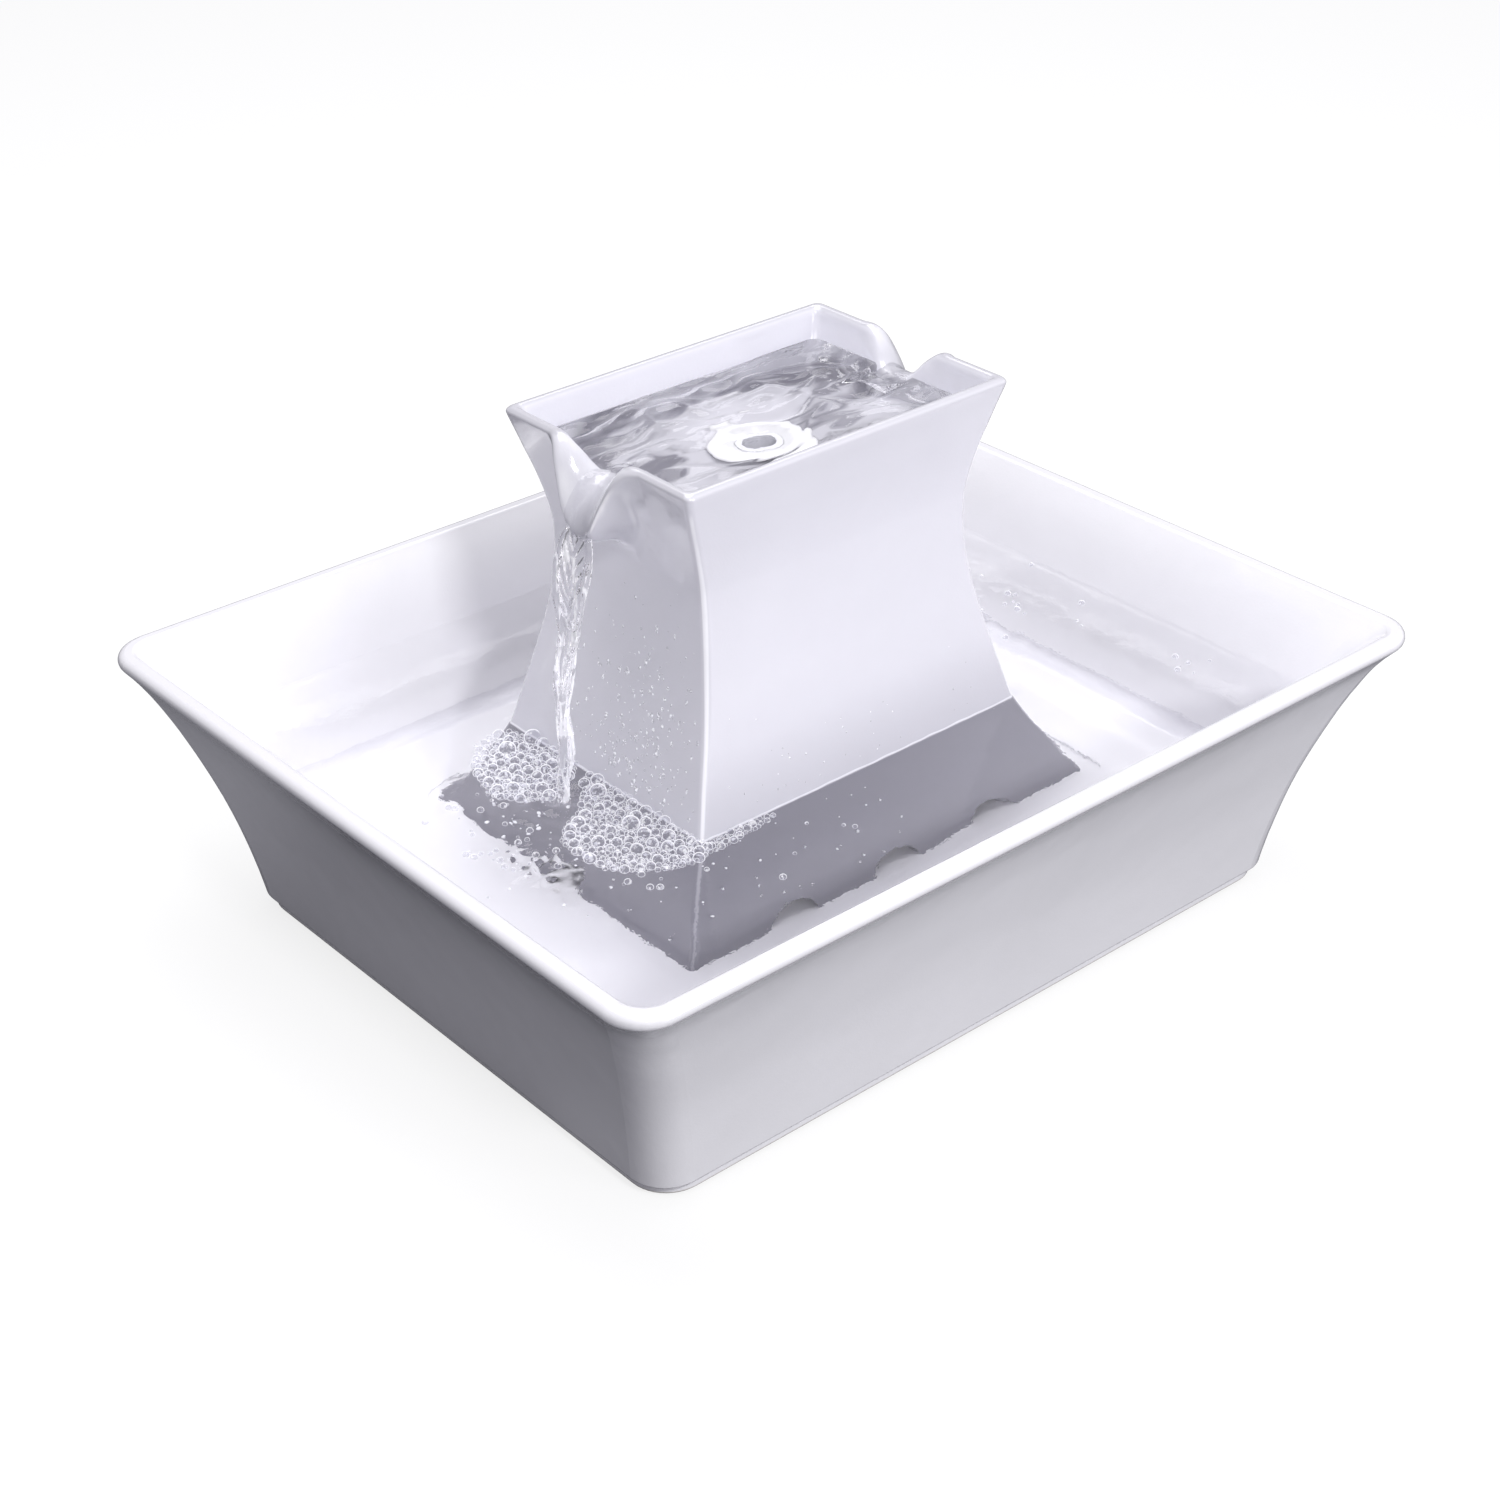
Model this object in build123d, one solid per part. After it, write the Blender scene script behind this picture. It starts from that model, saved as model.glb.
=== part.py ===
from build123d import *
import os

os.makedirs("parts", exist_ok=True)

# Ceramic pet water fountain: a flared rectangular dish with a hollow tower
# standing in it. A submersible pump inside the tower lifts the water through a
# riser tube into the basin on top of the tower, and it runs back into the dish
# over a pouring lip at each end.
# All lengths in mm. +Z up, origin at the centre of the underside, +X along the
# long side of the dish.

# ---------------------------------------------------------------- dish
RIM_HALF_X = 151.9          # outer edge of the rim before its lip is rounded, long side
RIM_HALF_Y = 130.8          # the same, short side
RIM_TOP = 86.7              # height of the dish's rim
RIM_THICK = 7.6             # width of the rim, seen from above
LIP_R = 2.3                 # rounding of the rim's outer edge
DISH_WALL = 7.2             # thickness of the wall under the rim
DISH_CORNER = 12.0          # radius of the dish's upright corners
WALL_FOOT = 4.6             # height at which the wall starts, over the foot ring
FOOT_HALF_X = 121.1
FOOT_HALF_Y = 98.3
FOOT_WIDTH = 14.0
FOOT_HOLLOW = 3.0           # height of the underside inside the foot ring
FLOOR = 13.0                # dish floor outside the tower's recess
RECESS_FLOOR = 12.0         # dish floor that the tower stands on
RECESS_HALF_X = 83.0
RECESS_HALF_Y = 65.0
PAD_R = 4.0                 # anti-slip pad under each corner of the foot ring
PAD_THICK = 1.6
PAD_SHOWS = 0.8             # how far a pad stands out of the foot ring

# flare of the outer wall: height, distance inside the rim's outer edge
DISH_FLARE = [(WALL_FOOT, 28.8), (15, 27.2), (30, 24.2), (45, 20.2), (60, 15.2),
              (66, 12.9), (72, 10.3), (77, 7.8), (81, 5.4), (84, 3.2), (RIM_TOP, 0.9)]
DISH_NARROW_Y = 1.7         # the wall's short side is set in a little further

# ---------------------------------------------------------------- tower
TOWER_FLARE = [(12.0, 77.8, 59.5), (30, 71.2, 53.9), (45, 66.3, 49.5), (60, 62.0, 45.8),
               (75, 57.9, 42.4), (90, 53.9, 39.2), (105, 50.8, 36.1), (120, 49.3, 34.4),
               (132, 49.8, 34.4), (145, 52.9, 36.3), (157, 56.8, 38.9), (165, 59.0, 40.6)]
TOWER_TOP = 165.0
TOWER_CORNER = 4.0
TOWER_WALL = 5.0            # lower wall
BASIN_WALL = 4.2            # wall around the top basin
BASIN_FLOOR = 141.0
BASIN_UNDER = 134.0         # ceiling of the hollow under the basin
ARCH_R = 8.8                # scallops in the tower's foot that let the water in
ARCH_TOP = 19.5
ARCH_PITCH = 39.0
OUTLET_R = 9.8              # hole in the basin floor

# ---------------------------------------------------------------- pump
AXIS_Z = 34.0               # height of the impeller's axis, which runs along X
BODY_X0, BODY_X1 = 9.0, 38.0
BODY_HALF_Y = 19.5
BODY_Z0, BODY_Z1 = 15.5, 64.0
BODY_WALL = 2.0
WELL_R = 7.1                # rotor chamber
WELL_WALL = 1.6
MAGNET_R = 6.7
SHAFT_R = 1.15
SHAFT_BORE_R = 1.20         # running clearance 0.05
VOLUTE_R = 17.0
CHAMBER_R = 14.5
NOZZLE_R = 4.7
NOZZLE_TOP = 76.0
TUBE_R = 7.0
TUBE_BORE_R = 5.0           # 0.3 clear of the nozzle
TUBE_BOTTOM = 64.5

# ---------------------------------------------------------------- filter box
BOX_X0, BOX_X1 = -51.0, -16.0
BOX_HALF_Y = 28.0
BOX_Z0, BOX_Z1 = 12.0, 46.0
BOX_WALL = 2.0


def rrect(a, b, r, z):
    """Rounded rectangle of half sizes a, b at height z."""
    return Pos(0, 0, z) * RectangleRounded(2 * a, 2 * b, r)


def box(x0, x1, y0, y1, z0, z1):
    return Pos((x0 + x1) / 2, (y0 + y1) / 2, (z0 + z1) / 2) * Box(x1 - x0, y1 - y0, z1 - z0)


def cyl_x(r, x0, x1, y=0.0, z=AXIS_Z):
    return Pos((x0 + x1) / 2, y, z) * Rot(0, 90, 0) * Cylinder(r, x1 - x0)


def cyl_y(r, y0, y1, x, z):
    return Pos(x, (y0 + y1) / 2, z) * Rot(90, 0, 0) * Cylinder(r, y1 - y0)


def cyl_z(r, z0, z1, x=0.0, y=0.0):
    return Pos(x, y, (z0 + z1) / 2) * Cylinder(r, z1 - z0)


def one(shape):
    """The single solid of a shape made in one piece."""
    s = shape.solids()
    assert len(s) == 1, len(s)
    return s[0]


# ================================================================ dish
outer = loft([rrect(RIM_HALF_X - i, RIM_HALF_Y - i - DISH_NARROW_Y * min(1, i / 8), DISH_CORNER, z)
              for z, i in DISH_FLARE])
outer = fillet(outer.edges().group_by(Axis.Z)[-1], LIP_R)
outer = fillet(outer.edges().group_by(Axis.Z)[0], 1.2)


def dish_inset(z):
    for (z0, i0), (z1, i1) in zip(DISH_FLARE, DISH_FLARE[1:]):
        if z0 <= z <= z1:
            return i0 + (i1 - i0) * (z - z0) / (z1 - z0)
    return -1.9


inner_sections = []
for z in (FLOOR, 24, 36, 48, 60, 72, 80, 90):
    i = dish_inset(z)
    w = DISH_WALL + (RIM_THICK - DISH_WALL) * max(0, (z - 60) / 27)
    inner_sections.append(rrect(RIM_HALF_X - i - w, RIM_HALF_Y - i - w - DISH_NARROW_Y * min(1, max(0, i) / 8),
                                DISH_CORNER - 4.0, z))
inner = loft(inner_sections)
inner = fillet(inner.edges().group_by(Axis.Z)[0], 7.0)
dish = outer - inner
# rounded lip, inner edge
dish = fillet([e for e in dish.edges().group_by(Axis.Z)[-1]
               if abs(e.center().X) < RIM_HALF_X - RIM_THICK + 1 and abs(e.center().Y) < RIM_HALF_Y - RIM_THICK + 1],
              1.9)
# foot ring, set in from the wall
ring = extrude(rrect(FOOT_HALF_X, FOOT_HALF_Y, 12, PAD_SHOWS), WALL_FOOT - PAD_SHOWS + 0.6) \
    - extrude(rrect(FOOT_HALF_X - FOOT_WIDTH, FOOT_HALF_Y - FOOT_WIDTH, 6, 0), FOOT_HOLLOW)
ring = fillet(ring.edges().group_by(Axis.Z)[0], 0.8)
dish = dish + ring
# shallow recess that locates the tower
dish = dish - extrude(rrect(RECESS_HALF_X, RECESS_HALF_Y, 6, RECESS_FLOOR), 2)
# pockets for the pads
PAD_X, PAD_Y = 111.0, 89.6
for sx in (-1, 1):
    for sy in (-1, 1):
        dish = dish - cyl_z(PAD_R + 0.05, 0, PAD_THICK, sx * PAD_X, sy * PAD_Y)
export_step(one(dish), "parts/dish.step")

pads = [fillet(cyl_z(PAD_R, 0, PAD_THICK, sx * PAD_X, sy * PAD_Y).edges().group_by(Axis.Z)[0], 0.4)
        for sx in (-1, 1) for sy in (-1, 1)]
export_step(Compound(children=[one(p) for p in pads]), "parts/foot_pads.step")


# ================================================================ tower
def tower_at(z):
    for (z0, a0, b0), (z1, a1, b1) in zip(TOWER_FLARE, TOWER_FLARE[1:]):
        if z0 <= z <= z1:
            t = (z - z0) / (z1 - z0)
            return a0 + (a1 - a0) * t, b0 + (b1 - b0) * t
    return TOWER_FLARE[-1][1:]


shell = loft([rrect(a, b, TOWER_CORNER, z) for z, a, b in TOWER_FLARE])
shell = fillet(shell.edges().group_by(Axis.Z)[-1], 1.7)
hollow = loft([rrect(a - TOWER_WALL, b - TOWER_WALL, 3.0, z) for z, a, b in
               [(TOWER_FLARE[0][0] - 4, TOWER_FLARE[0][1] + 1.4, TOWER_FLARE[0][2] + 1.2)] + TOWER_FLARE[:8]
               + [(BASIN_UNDER, 50.2, 34.6)]])
basin = loft([rrect(a - BASIN_WALL, b - BASIN_WALL, 3.0, z) for z, a, b in
              [(BASIN_FLOOR, 51.8, 35.7), (145, 52.9, 36.3), (151, 54.9, 37.6), (157, 56.8, 38.9), (167, 59.5, 41.0)]])
basin = fillet(basin.edges().group_by(Axis.Z)[0], 3.5)
tower = shell - hollow - basin
tower = fillet([e for e in tower.edges().group_by(Axis.Z)[-1]
                if abs(e.center().X) < 56.0 and abs(e.center().Y) < 37.6], 1.6)

# pouring lips: a pinched-out pouch at the middle of each end, trimmed by its side
# view, its front view and its plan, then hollowed by a falling trough
LIP_X = 65.0
side = make_face(Polyline((46, 132), (51.0, 137.6), (57.0, 138.0), (62.0, 140.0), (LIP_X, 143.6), (LIP_X + 0.2, 147.5),
                          (63.6, 153.0), (61.6, 159.0), (59.0, 164.0), (46, 164.0), (46, 132)))
front = make_face(Polyline((-18.5, 166), (-16.5, 156), (-13.0, 147.0), (-7.0, 140.4), (-2.5, 137.2), (2.5, 137.2),
                           (7.0, 140.4), (13.0, 147.0), (16.5, 156), (18.5, 166), (-18.5, 166)))
plan = make_face(Polyline((44, -20), (54, -18.2), (60, -14.0), (LIP_X + 0.5, -8.0), (LIP_X + 0.5, 8.0), (60, 14.0),
                          (54, 18.2), (44, 20), (44, -20)))
pouch = extrude(Plane.XZ * side, amount=30, both=True)
pouch = pouch & extrude(Plane.YZ * front, amount=80)
pouch = pouch & (Pos(0, 0, 120) * extrude(plan, amount=60))


def trough_section(x, zb, pts):
    """Bell-shaped opening at station x whose lowest point is at height zb."""
    right = [(y, zb + h) for y, h in pts]
    left = [(-y, z) for y, z in reversed(right[1:])]
    curve = Spline(*(left + right))
    y1, z1 = right[-1]
    lid = Polyline((y1, z1), (y1 + 0.5, 176), (-y1 - 0.5, 176), (-y1, z1))
    return Plane.YZ.offset(x) * make_face(curve + lid)


wide = [(0, 0), (4.2, 1.0), (7.4, 4.0), (9.8, 7.6), (12.6, 9.6), (17.0, 10.7)]
mid = [(0, 0), (3.6, 1.2), (6.0, 4.6), (8.4, 9.4), (11.0, 13.6), (15.6, 16.5)]
low = [(0, 0), (3.0, 1.3), (5.0, 5.0), (7.4, 11.0), (10.2, 18.0), (14.8, 24.0)]
end = [(0, 0), (2.8, 1.3), (4.8, 5.2), (7.2, 12.0), (10.0, 20.0), (14.6, 29.0)]
trough = loft([trough_section(45, 155.2, wide), trough_section(53, 155.0, wide), trough_section(57.5, 153.6, wide),
               trough_section(61.0, 149.6, mid), trough_section(64.0, 144.6, low), trough_section(67.0, 139.6, end)])

spout = pouch
tower = tower + (spout - basin - hollow) + Rot(0, 0, 180) * (spout - basin - hollow)
tower = tower - trough - Rot(0, 0, 180) * trough

# outlet hole and the scalloped foot
tower = tower - cyl_z(OUTLET_R, 130, 145)
arch_z = ARCH_TOP - ARCH_R
for x in (-ARCH_PITCH, 0, ARCH_PITCH):
    tower = tower - cyl_y(ARCH_R, -80, 80, x, arch_z)
tower = tower - cyl_x(ARCH_R, -100, 100, 0, arch_z)
export_step(one(tower), "parts/tower.step")

# outlet collar in the basin floor, with the riser tube plugged in from below
collar = revolve(Plane.XZ * make_face(Polyline(
    (7.0, 131.5), (11.4, 131.5), (12.0, 132.2), (11.6, 134.0), (OUTLET_R, 134.0), (OUTLET_R, 141.0), (13.6, 141.0),
    (14.0, 141.8), (13.4, 145.0), (11.8, 147.2), (9.6, 147.8), (7.6, 147.0), (6.4, 145.0), (6.0, 142.0),
    (7.0, 142.0), (7.0, 131.5))), Axis.Z)
export_step(one(collar), "parts/outlet_collar.step")
tube = cyl_z(TUBE_R, TUBE_BOTTOM, 142.0) - cyl_z(TUBE_BORE_R, 0, 200)
tube = chamfer(tube.edges().group_by(Axis.Z)[0].sort_by(SortBy.RADIUS)[0], 0.8)
export_step(one(tube), "parts/riser_tube.step")

# ================================================================ pump
body = box(BODY_X0, BODY_X1, -BODY_HALF_Y, BODY_HALF_Y, BODY_Z0, BODY_Z1)
body = fillet(body.edges().filter_by(Axis.Z), 4.0)
body = fillet(body.edges().group_by(Axis.Z)[0], 1.5)
inside = box(BODY_X0 + BODY_WALL, BODY_X1 - BODY_WALL, -BODY_HALF_Y + BODY_WALL, BODY_HALF_Y - BODY_WALL,
             BODY_Z0 + BODY_WALL, BODY_Z1 + 1)
inside = fillet(inside.edges().filter_by(Axis.Z), 2.4)
body = body - inside
body = body + cyl_x(WELL_R + WELL_WALL, BODY_X0 + 0.5, BODY_X1 - 1.0)
body = body - cyl_x(WELL_R, BODY_X0 - 1, 33.0) - cyl_x(3.0, 30, 36.2)
# sockets for the suction cups' stems
CUPS = [(15.5, -12.5), (15.5, 12.5), (32.0, -12.5), (32.0, 12.5)]
for x, y in CUPS:
    body = body - cyl_z(2.0, 10, 17.2, x, y)
# small ribs on both flanks for grip
for sy in (-1, 1):
    for k in range(5):
        x = 14.5 + k * 4.4
        body = body + box(x, x + 1.6, sy * (BODY_HALF_Y - 0.4) - 0.7, sy * (BODY_HALF_Y - 0.4) + 0.7, 24, 58)
export_step(one(body), "parts/pump_body.step")

# laminated stator: a U that straddles the rotor chamber, coil on its yoke
CORE_X0, CORE_X1 = 14.0, 30.0
core = box(CORE_X0, CORE_X1, -15.5, 15.5, 23.0, 57.5) - box(CORE_X0, CORE_X1, -9.0, 9.0, 0, 50.5) \
    - cyl_x(WELL_R + WELL_WALL + 0.6, CORE_X0 - 1, CORE_X1 + 1)
# pole shoes hug the rotor chamber
for sy in (-1, 1):
    shoe = box(CORE_X0, CORE_X1, min(sy * 6, sy * 10), max(sy * 6, sy * 10), 25.0, 43.0) \
        - cyl_x(WELL_R + WELL_WALL + 0.6, CORE_X0 - 1, CORE_X1 + 1)
    core = core + shoe
export_step(one(core), "parts/stator_core.step")

bobbin = box(12.6, 31.4, -8.8, 8.8, 49.1, 58.9)
bobbin = bobbin + box(11.4, 32.6, -8.8, -7.6, 46.0, 61.6) + box(11.4, 32.6, 7.6, 8.8, 46.0, 61.6)
bobbin = bobbin - box(CORE_X0, CORE_X1, -10, 10, 50.5, 57.5)
export_step(one(bobbin), "parts/coil_bobbin.step")
coil = box(11.8, 32.2, -7.6, 7.6, 46.4, 61.2) - box(12.6, 31.4, -8, 8, 49.1, 58.9)
coil = fillet([e for e in coil.edges().filter_by(Axis.Y) if abs(e.center().Z - 53.8) > 7.0], 1.6)
export_step(one(coil), "parts/coil_winding.step")

POT_TOP = 62.8
pot = box(BODY_X0 + BODY_WALL, BODY_X1 - BODY_WALL, -BODY_HALF_Y + BODY_WALL, BODY_HALF_Y - BODY_WALL,
          BODY_Z0 + BODY_WALL, POT_TOP)
pot = fillet(pot.edges().filter_by(Axis.Z), 2.4)
pot = pot - core - bobbin - coil - cyl_x(WELL_R + WELL_WALL, 0, 50)
pot_pieces = sorted(pot.solids(), key=lambda s: -s.volume)
export_step(pot_pieces[0], "parts/potting_block.step")

# inlet gland for the lead, moulded on the back of the pump's top
gland = cyl_z(4.6, POT_TOP, 69.5, 30.5, 11.0)
gland = fillet(gland.edges().group_by(Axis.Z)[-1], 1.2)
gland = gland + box(23.5, 35.0, 5.0, 16.5, POT_TOP, 64.6)
gland = gland - cyl_z(2.3, 64.8, 80, 30.5, 11.0)
export_step(one(gland), "parts/cable_gland.step")

# impeller chamber with its upright nozzle
volute = cyl_x(VOLUTE_R, -8.0, BODY_X0) + cyl_z(NOZZLE_R, AXIS_Z + 8, NOZZLE_TOP)
volute = volute + cyl_z(NOZZLE_R + 1.6, AXIS_Z + 8, 55.0)
volute = volute + box(-4, 4, -18.6, 18.6, 30.0, 38.0)
volute = volute - cyl_x(CHAMBER_R, -9.0, 6.8) - cyl_x(WELL_R, 0, 12)
volute = volute - cyl_z(3.4, AXIS_Z + 8, 90)
# seat of the seal
volute = volute - (cyl_x(13.4, BODY_X0 - 1.4, BODY_X0 + 1) - cyl_x(11.6, 0, 20))
volute = chamfer([e for e in volute.edges().filter_by(GeomType.CIRCLE)
                  if abs(e.center().Z - NOZZLE_TOP) < 0.01 and e.radius > 4], 0.7)
export_step(one(volute), "parts/volute.step")

seal = Pos(BODY_X0 - 0.7, 0, AXIS_Z) * Rot(0, 90, 0) * Torus(12.5, 0.7)
export_step(one(seal), "parts/volute_seal.step")

# rotor
magnet = cyl_x(MAGNET_R, 13.0, 31.0) - cyl_x(2.2, 0, 50)
magnet = chamfer([e for e in magnet.edges().filter_by(GeomType.CIRCLE) if e.radius > 5], 0.5)
export_step(one(magnet), "parts/rotor_magnet.step")
impeller = cyl_x(3.6, -3.2, 8.0) + cyl_x(12.4, 4.6, 5.8) + cyl_x(2.2, 5.0, 32.2)
for k in range(6):
    vane = box(-3.0, 4.7, -0.6, 0.6, 3.0, 12.4)
    impeller = impeller + Pos(0, 0, AXIS_Z) * Rot(k * 60, 0, 0) * vane
impeller = impeller - cyl_x(SHAFT_BORE_R, -10, 40)
export_step(one(impeller), "parts/impeller.step")
shaft = cyl_x(SHAFT_R, -7.2, 35.4)
export_step(one(shaft), "parts/impeller_shaft.step")
rear = cyl_x(3.0, 33.2, 36.2) - cyl_x(SHAFT_R, 30, 35.4)
export_step(one(rear), "parts/rear_bush.step")
front_b = cyl_x(3.0, -8.0, -4.0) - cyl_x(SHAFT_R, -7.2, 0)
export_step(one(front_b), "parts/front_bush.step")

# intake cover, snapped over the front of the chamber
cover = cyl_x(19.0, -12.0, -6.6) - cyl_x(VOLUTE_R, -8.2, 0)
cover = cover + cyl_x(4.4, -8.4, -4.4)
cover = cover - cyl_x(3.0, -8.0, 0)
for k in range(8):
    slot = box(-14, -7, -1.7, 1.7, 6.2, 13.4)
    slot = fillet(slot.edges().filter_by(Axis.X), 1.2)
    cover = cover - Pos(0, 0, AXIS_Z) * Rot(k * 45, 0, 0) * slot
cover = cover + cyl_x(3.0, -15.0, -11.5) + cyl_x(4.2, -15.6, -14.4)
export_step(one(cover), "parts/intake_cover.step")

# flow regulator: a rotary shutter in front of the intake slots, with a lever
REST_TILT = 20.0
reg = cyl_x(17.6, -13.9, -12.4) - cyl_x(3.06, -20, 0)
for k in range(8):
    slot = box(-16, -11, -2.0, 2.0, 6.0, 13.8)
    slot = fillet(slot.edges().filter_by(Axis.X), 1.2)
    reg = reg - Pos(0, 0, AXIS_Z) * Rot(k * 45, 0, 0) * slot
lever = box(-13.9, -12.4, -2.4, 2.4, 16.5, 27.0)
lever = lever + box(-15.6, -12.4, -4.2, 4.2, 24.0, 28.0)
reg = reg + Pos(0, 0, AXIS_Z) * Rot(REST_TILT, 0, 0) * lever
export_step(one(reg), "parts/flow_regulator.step")

# suction cups under the pump
cups = []
for x, y in CUPS:
    cup = revolve(Plane.XZ * make_face(Polyline((0, 17.2), (2.0, 17.2), (2.0, 15.5), (3.4, 15.5), (4.4, 14.2), (6.6, 12.3),
                                                 (6.6, 12.0), (5.8, 12.0), (3.4, 13.6), (0, 14.2), (0, 17.2))), Axis.Z)
    cups.append(one(Pos(x, y, 0) * cup))
export_step(Compound(children=cups), "parts/suction_cups.step")

# ================================================================ filter box
fbox = box(BOX_X0, BOX_X1, -BOX_HALF_Y, BOX_HALF_Y, BOX_Z0, BOX_Z1)
fbox = fillet(fbox.edges().filter_by(Axis.Z), 3.0)
cav = box(BOX_X0 + BOX_WALL, BOX_X1 - BOX_WALL, -BOX_HALF_Y + BOX_WALL, BOX_HALF_Y - BOX_WALL,
          BOX_Z0 + BOX_WALL, BOX_Z1 + 1)
cav = fillet(cav.edges().filter_by(Axis.Z), 1.2)
fbox = fbox - cav
# rolled upper edge
lip = box(BOX_X0 - 0.8, BOX_X1, -BOX_HALF_Y - 0.8, BOX_HALF_Y + 0.8, BOX_Z1 - 2.0, BOX_Z1)
lip = fillet(lip.edges().filter_by(Axis.Z), 3.4) - box(BOX_X0 + 1, BOX_X1 - 1, -BOX_HALF_Y + 1, BOX_HALF_Y - 1, 0, 60)
fbox = fbox + lip
# guide ribs between the two cassettes
for sy in (-1, 1):
    y0, y1 = sorted((sy * (BOX_HALF_Y - BOX_WALL), sy * (BOX_HALF_Y - BOX_WALL - 3.0)))
    fbox = fbox + box(-36.9, -35.5, y0, y1, BOX_Z0 + 1, BOX_Z1 - 2)
    fbox = fbox + box(-24.5, -23.1, y0, y1, BOX_Z0 + 1, BOX_Z1 - 2)
# intake slots: in the outer wall and in the flanks beside the foam
for k in range(-3, 4):
    s = box(BOX_X0 - 2, BOX_X0 + 4, k * 6.8 - 1.6, k * 6.8 + 1.6, 18, 40)
    fbox = fbox - fillet(s.edges().filter_by(Axis.X), 1.5)
for k in range(2):
    x = -46.4 + k * 5.6
    s = box(x - 1.3, x + 1.3, -40, 40, 18, 40)
    fbox = fbox - fillet(s.edges().filter_by(Axis.Y), 1.2)
# round opening and collar around the pump's intake
fbox = fbox - cyl_x(15.0, -20, -10)
duct = cyl_x(21.0, BOX_X1 - 0.5, -8.5) - cyl_x(19.5, -30, 0)
duct = duct & box(-30, 0, -30, 30, BOX_Z0 + 0.5, 60)
duct = duct - box(-30, 0, -14.5, 14.5, AXIS_Z + 10, 70)
fbox = fbox + duct
# two snap arms that hook over the lugs on the chamber's sides
for sy in (-1, 1):
    y0, y1 = sorted((sy * 18.6, sy * 20.8))
    fbox = fbox - box(-16.0, -5.0, y0 - 0.4, y1 + 0.4, 27.5, 40.5)
    fbox = fbox + box(-17.0, 5.5, y0, y1, 29.0, 39.0)
fbox = fbox - cyl_x(19.0, -12.0, -6.6)
# stop ribs in the tray floor
fbox = fbox + box(-30.5, -29.0, -22, 22, BOX_Z0 + 1, BOX_Z0 + BOX_WALL + 0.2)
export_step(one(fbox), "parts/filter_box.step")

foam = box(-48.6, -37.2, -25.6, 25.6, BOX_Z0 + BOX_WALL + 0.3, 47.0)
foam = fillet(foam.edges().filter_by(Axis.Z), 1.2)
export_step(one(foam), "parts/foam_filter.step")

# carbon cassette: frame with a window on each face, screens and granules
CX0, CX1, CY, CZ0, CZ1 = -35.2, -24.8, 25.6, 14.6, 46.0
frame = box(CX0, CX1, -CY, CY, CZ0, CZ1)
frame = fillet(frame.edges().filter_by(Axis.X), 2.0)
frame = frame - box(CX0 - 1, CX1 + 1, -CY + 3.0, CY - 3.0, CZ0 + 3.0, CZ1 - 3.0)
frame = frame - box(CX0 + 1.3, CX1 - 1.3, -CY + 1.6, CY - 1.6, CZ0 + 1.6, CZ1 - 1.6)
for k in range(-1, 2):
    for x in (CX0, CX1 - 1.3):
        frame = frame + box(x, x + 1.3, k * 11.6 - 0.8, k * 11.6 + 0.8, CZ0 + 2, CZ1 - 2)
grip = box(-31.2, -28.8, -9.0, 9.0, CZ1 - 1.0, CZ1 + 6.5)
grip = fillet(grip.edges().filter_by(Axis.X).group_by(Axis.Z)[-1], 3.0)
grip = grip - cyl_x(1.9, -40, -20, 0, CZ1 + 2.9)
frame = frame + grip
export_step(one(frame), "parts/carbon_frame.step")

screens = []
for x0, x1 in ((CX0 + 1.3, CX0 + 1.8), (CX1 - 1.8, CX1 - 1.3)):
    screens.append(one(box(x0, x1, -CY + 1.6, CY - 1.6, CZ0 + 1.6, CZ1 - 1.6)))
export_step(Compound(children=screens), "parts/carbon_screens.step")
carbon = box(CX0 + 1.8, CX1 - 1.8, -CY + 1.6, CY - 1.6, CZ0 + 1.6, CZ1 - 1.6)
export_step(one(carbon), "parts/carbon_granules.step")
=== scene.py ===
import bpy
import bmesh
import math
import random
import numpy as np
from mathutils import Matrix, Vector
from mathutils.bvhtree import BVHTree


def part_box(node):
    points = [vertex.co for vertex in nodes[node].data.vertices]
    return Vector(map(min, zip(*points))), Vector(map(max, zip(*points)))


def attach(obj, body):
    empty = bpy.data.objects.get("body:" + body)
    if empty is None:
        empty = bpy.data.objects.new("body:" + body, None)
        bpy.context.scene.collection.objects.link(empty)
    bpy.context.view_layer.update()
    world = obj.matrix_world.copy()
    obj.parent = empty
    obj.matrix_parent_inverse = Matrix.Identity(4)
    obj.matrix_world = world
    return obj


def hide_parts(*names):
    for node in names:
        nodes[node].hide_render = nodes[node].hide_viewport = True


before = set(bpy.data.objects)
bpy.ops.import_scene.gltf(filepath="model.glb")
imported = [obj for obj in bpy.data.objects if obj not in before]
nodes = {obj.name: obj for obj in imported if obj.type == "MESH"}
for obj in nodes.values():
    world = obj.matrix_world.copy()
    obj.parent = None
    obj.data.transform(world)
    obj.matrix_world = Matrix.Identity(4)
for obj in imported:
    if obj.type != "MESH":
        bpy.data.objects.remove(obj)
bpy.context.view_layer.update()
MM = 0.001

# ================================================================== camera and light
scene = bpy.context.scene
cam_data = bpy.data.cameras.new("camera")
cam = bpy.data.objects.new("camera", cam_data)
scene.collection.objects.link(cam)
scene.camera = cam
cam_data.sensor_width = 36.0
cam_data.lens = 2658.52 / 1500.0 * 36.0
cam_data.clip_start = 0.02
cam_data.clip_end = 30.0


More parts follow.
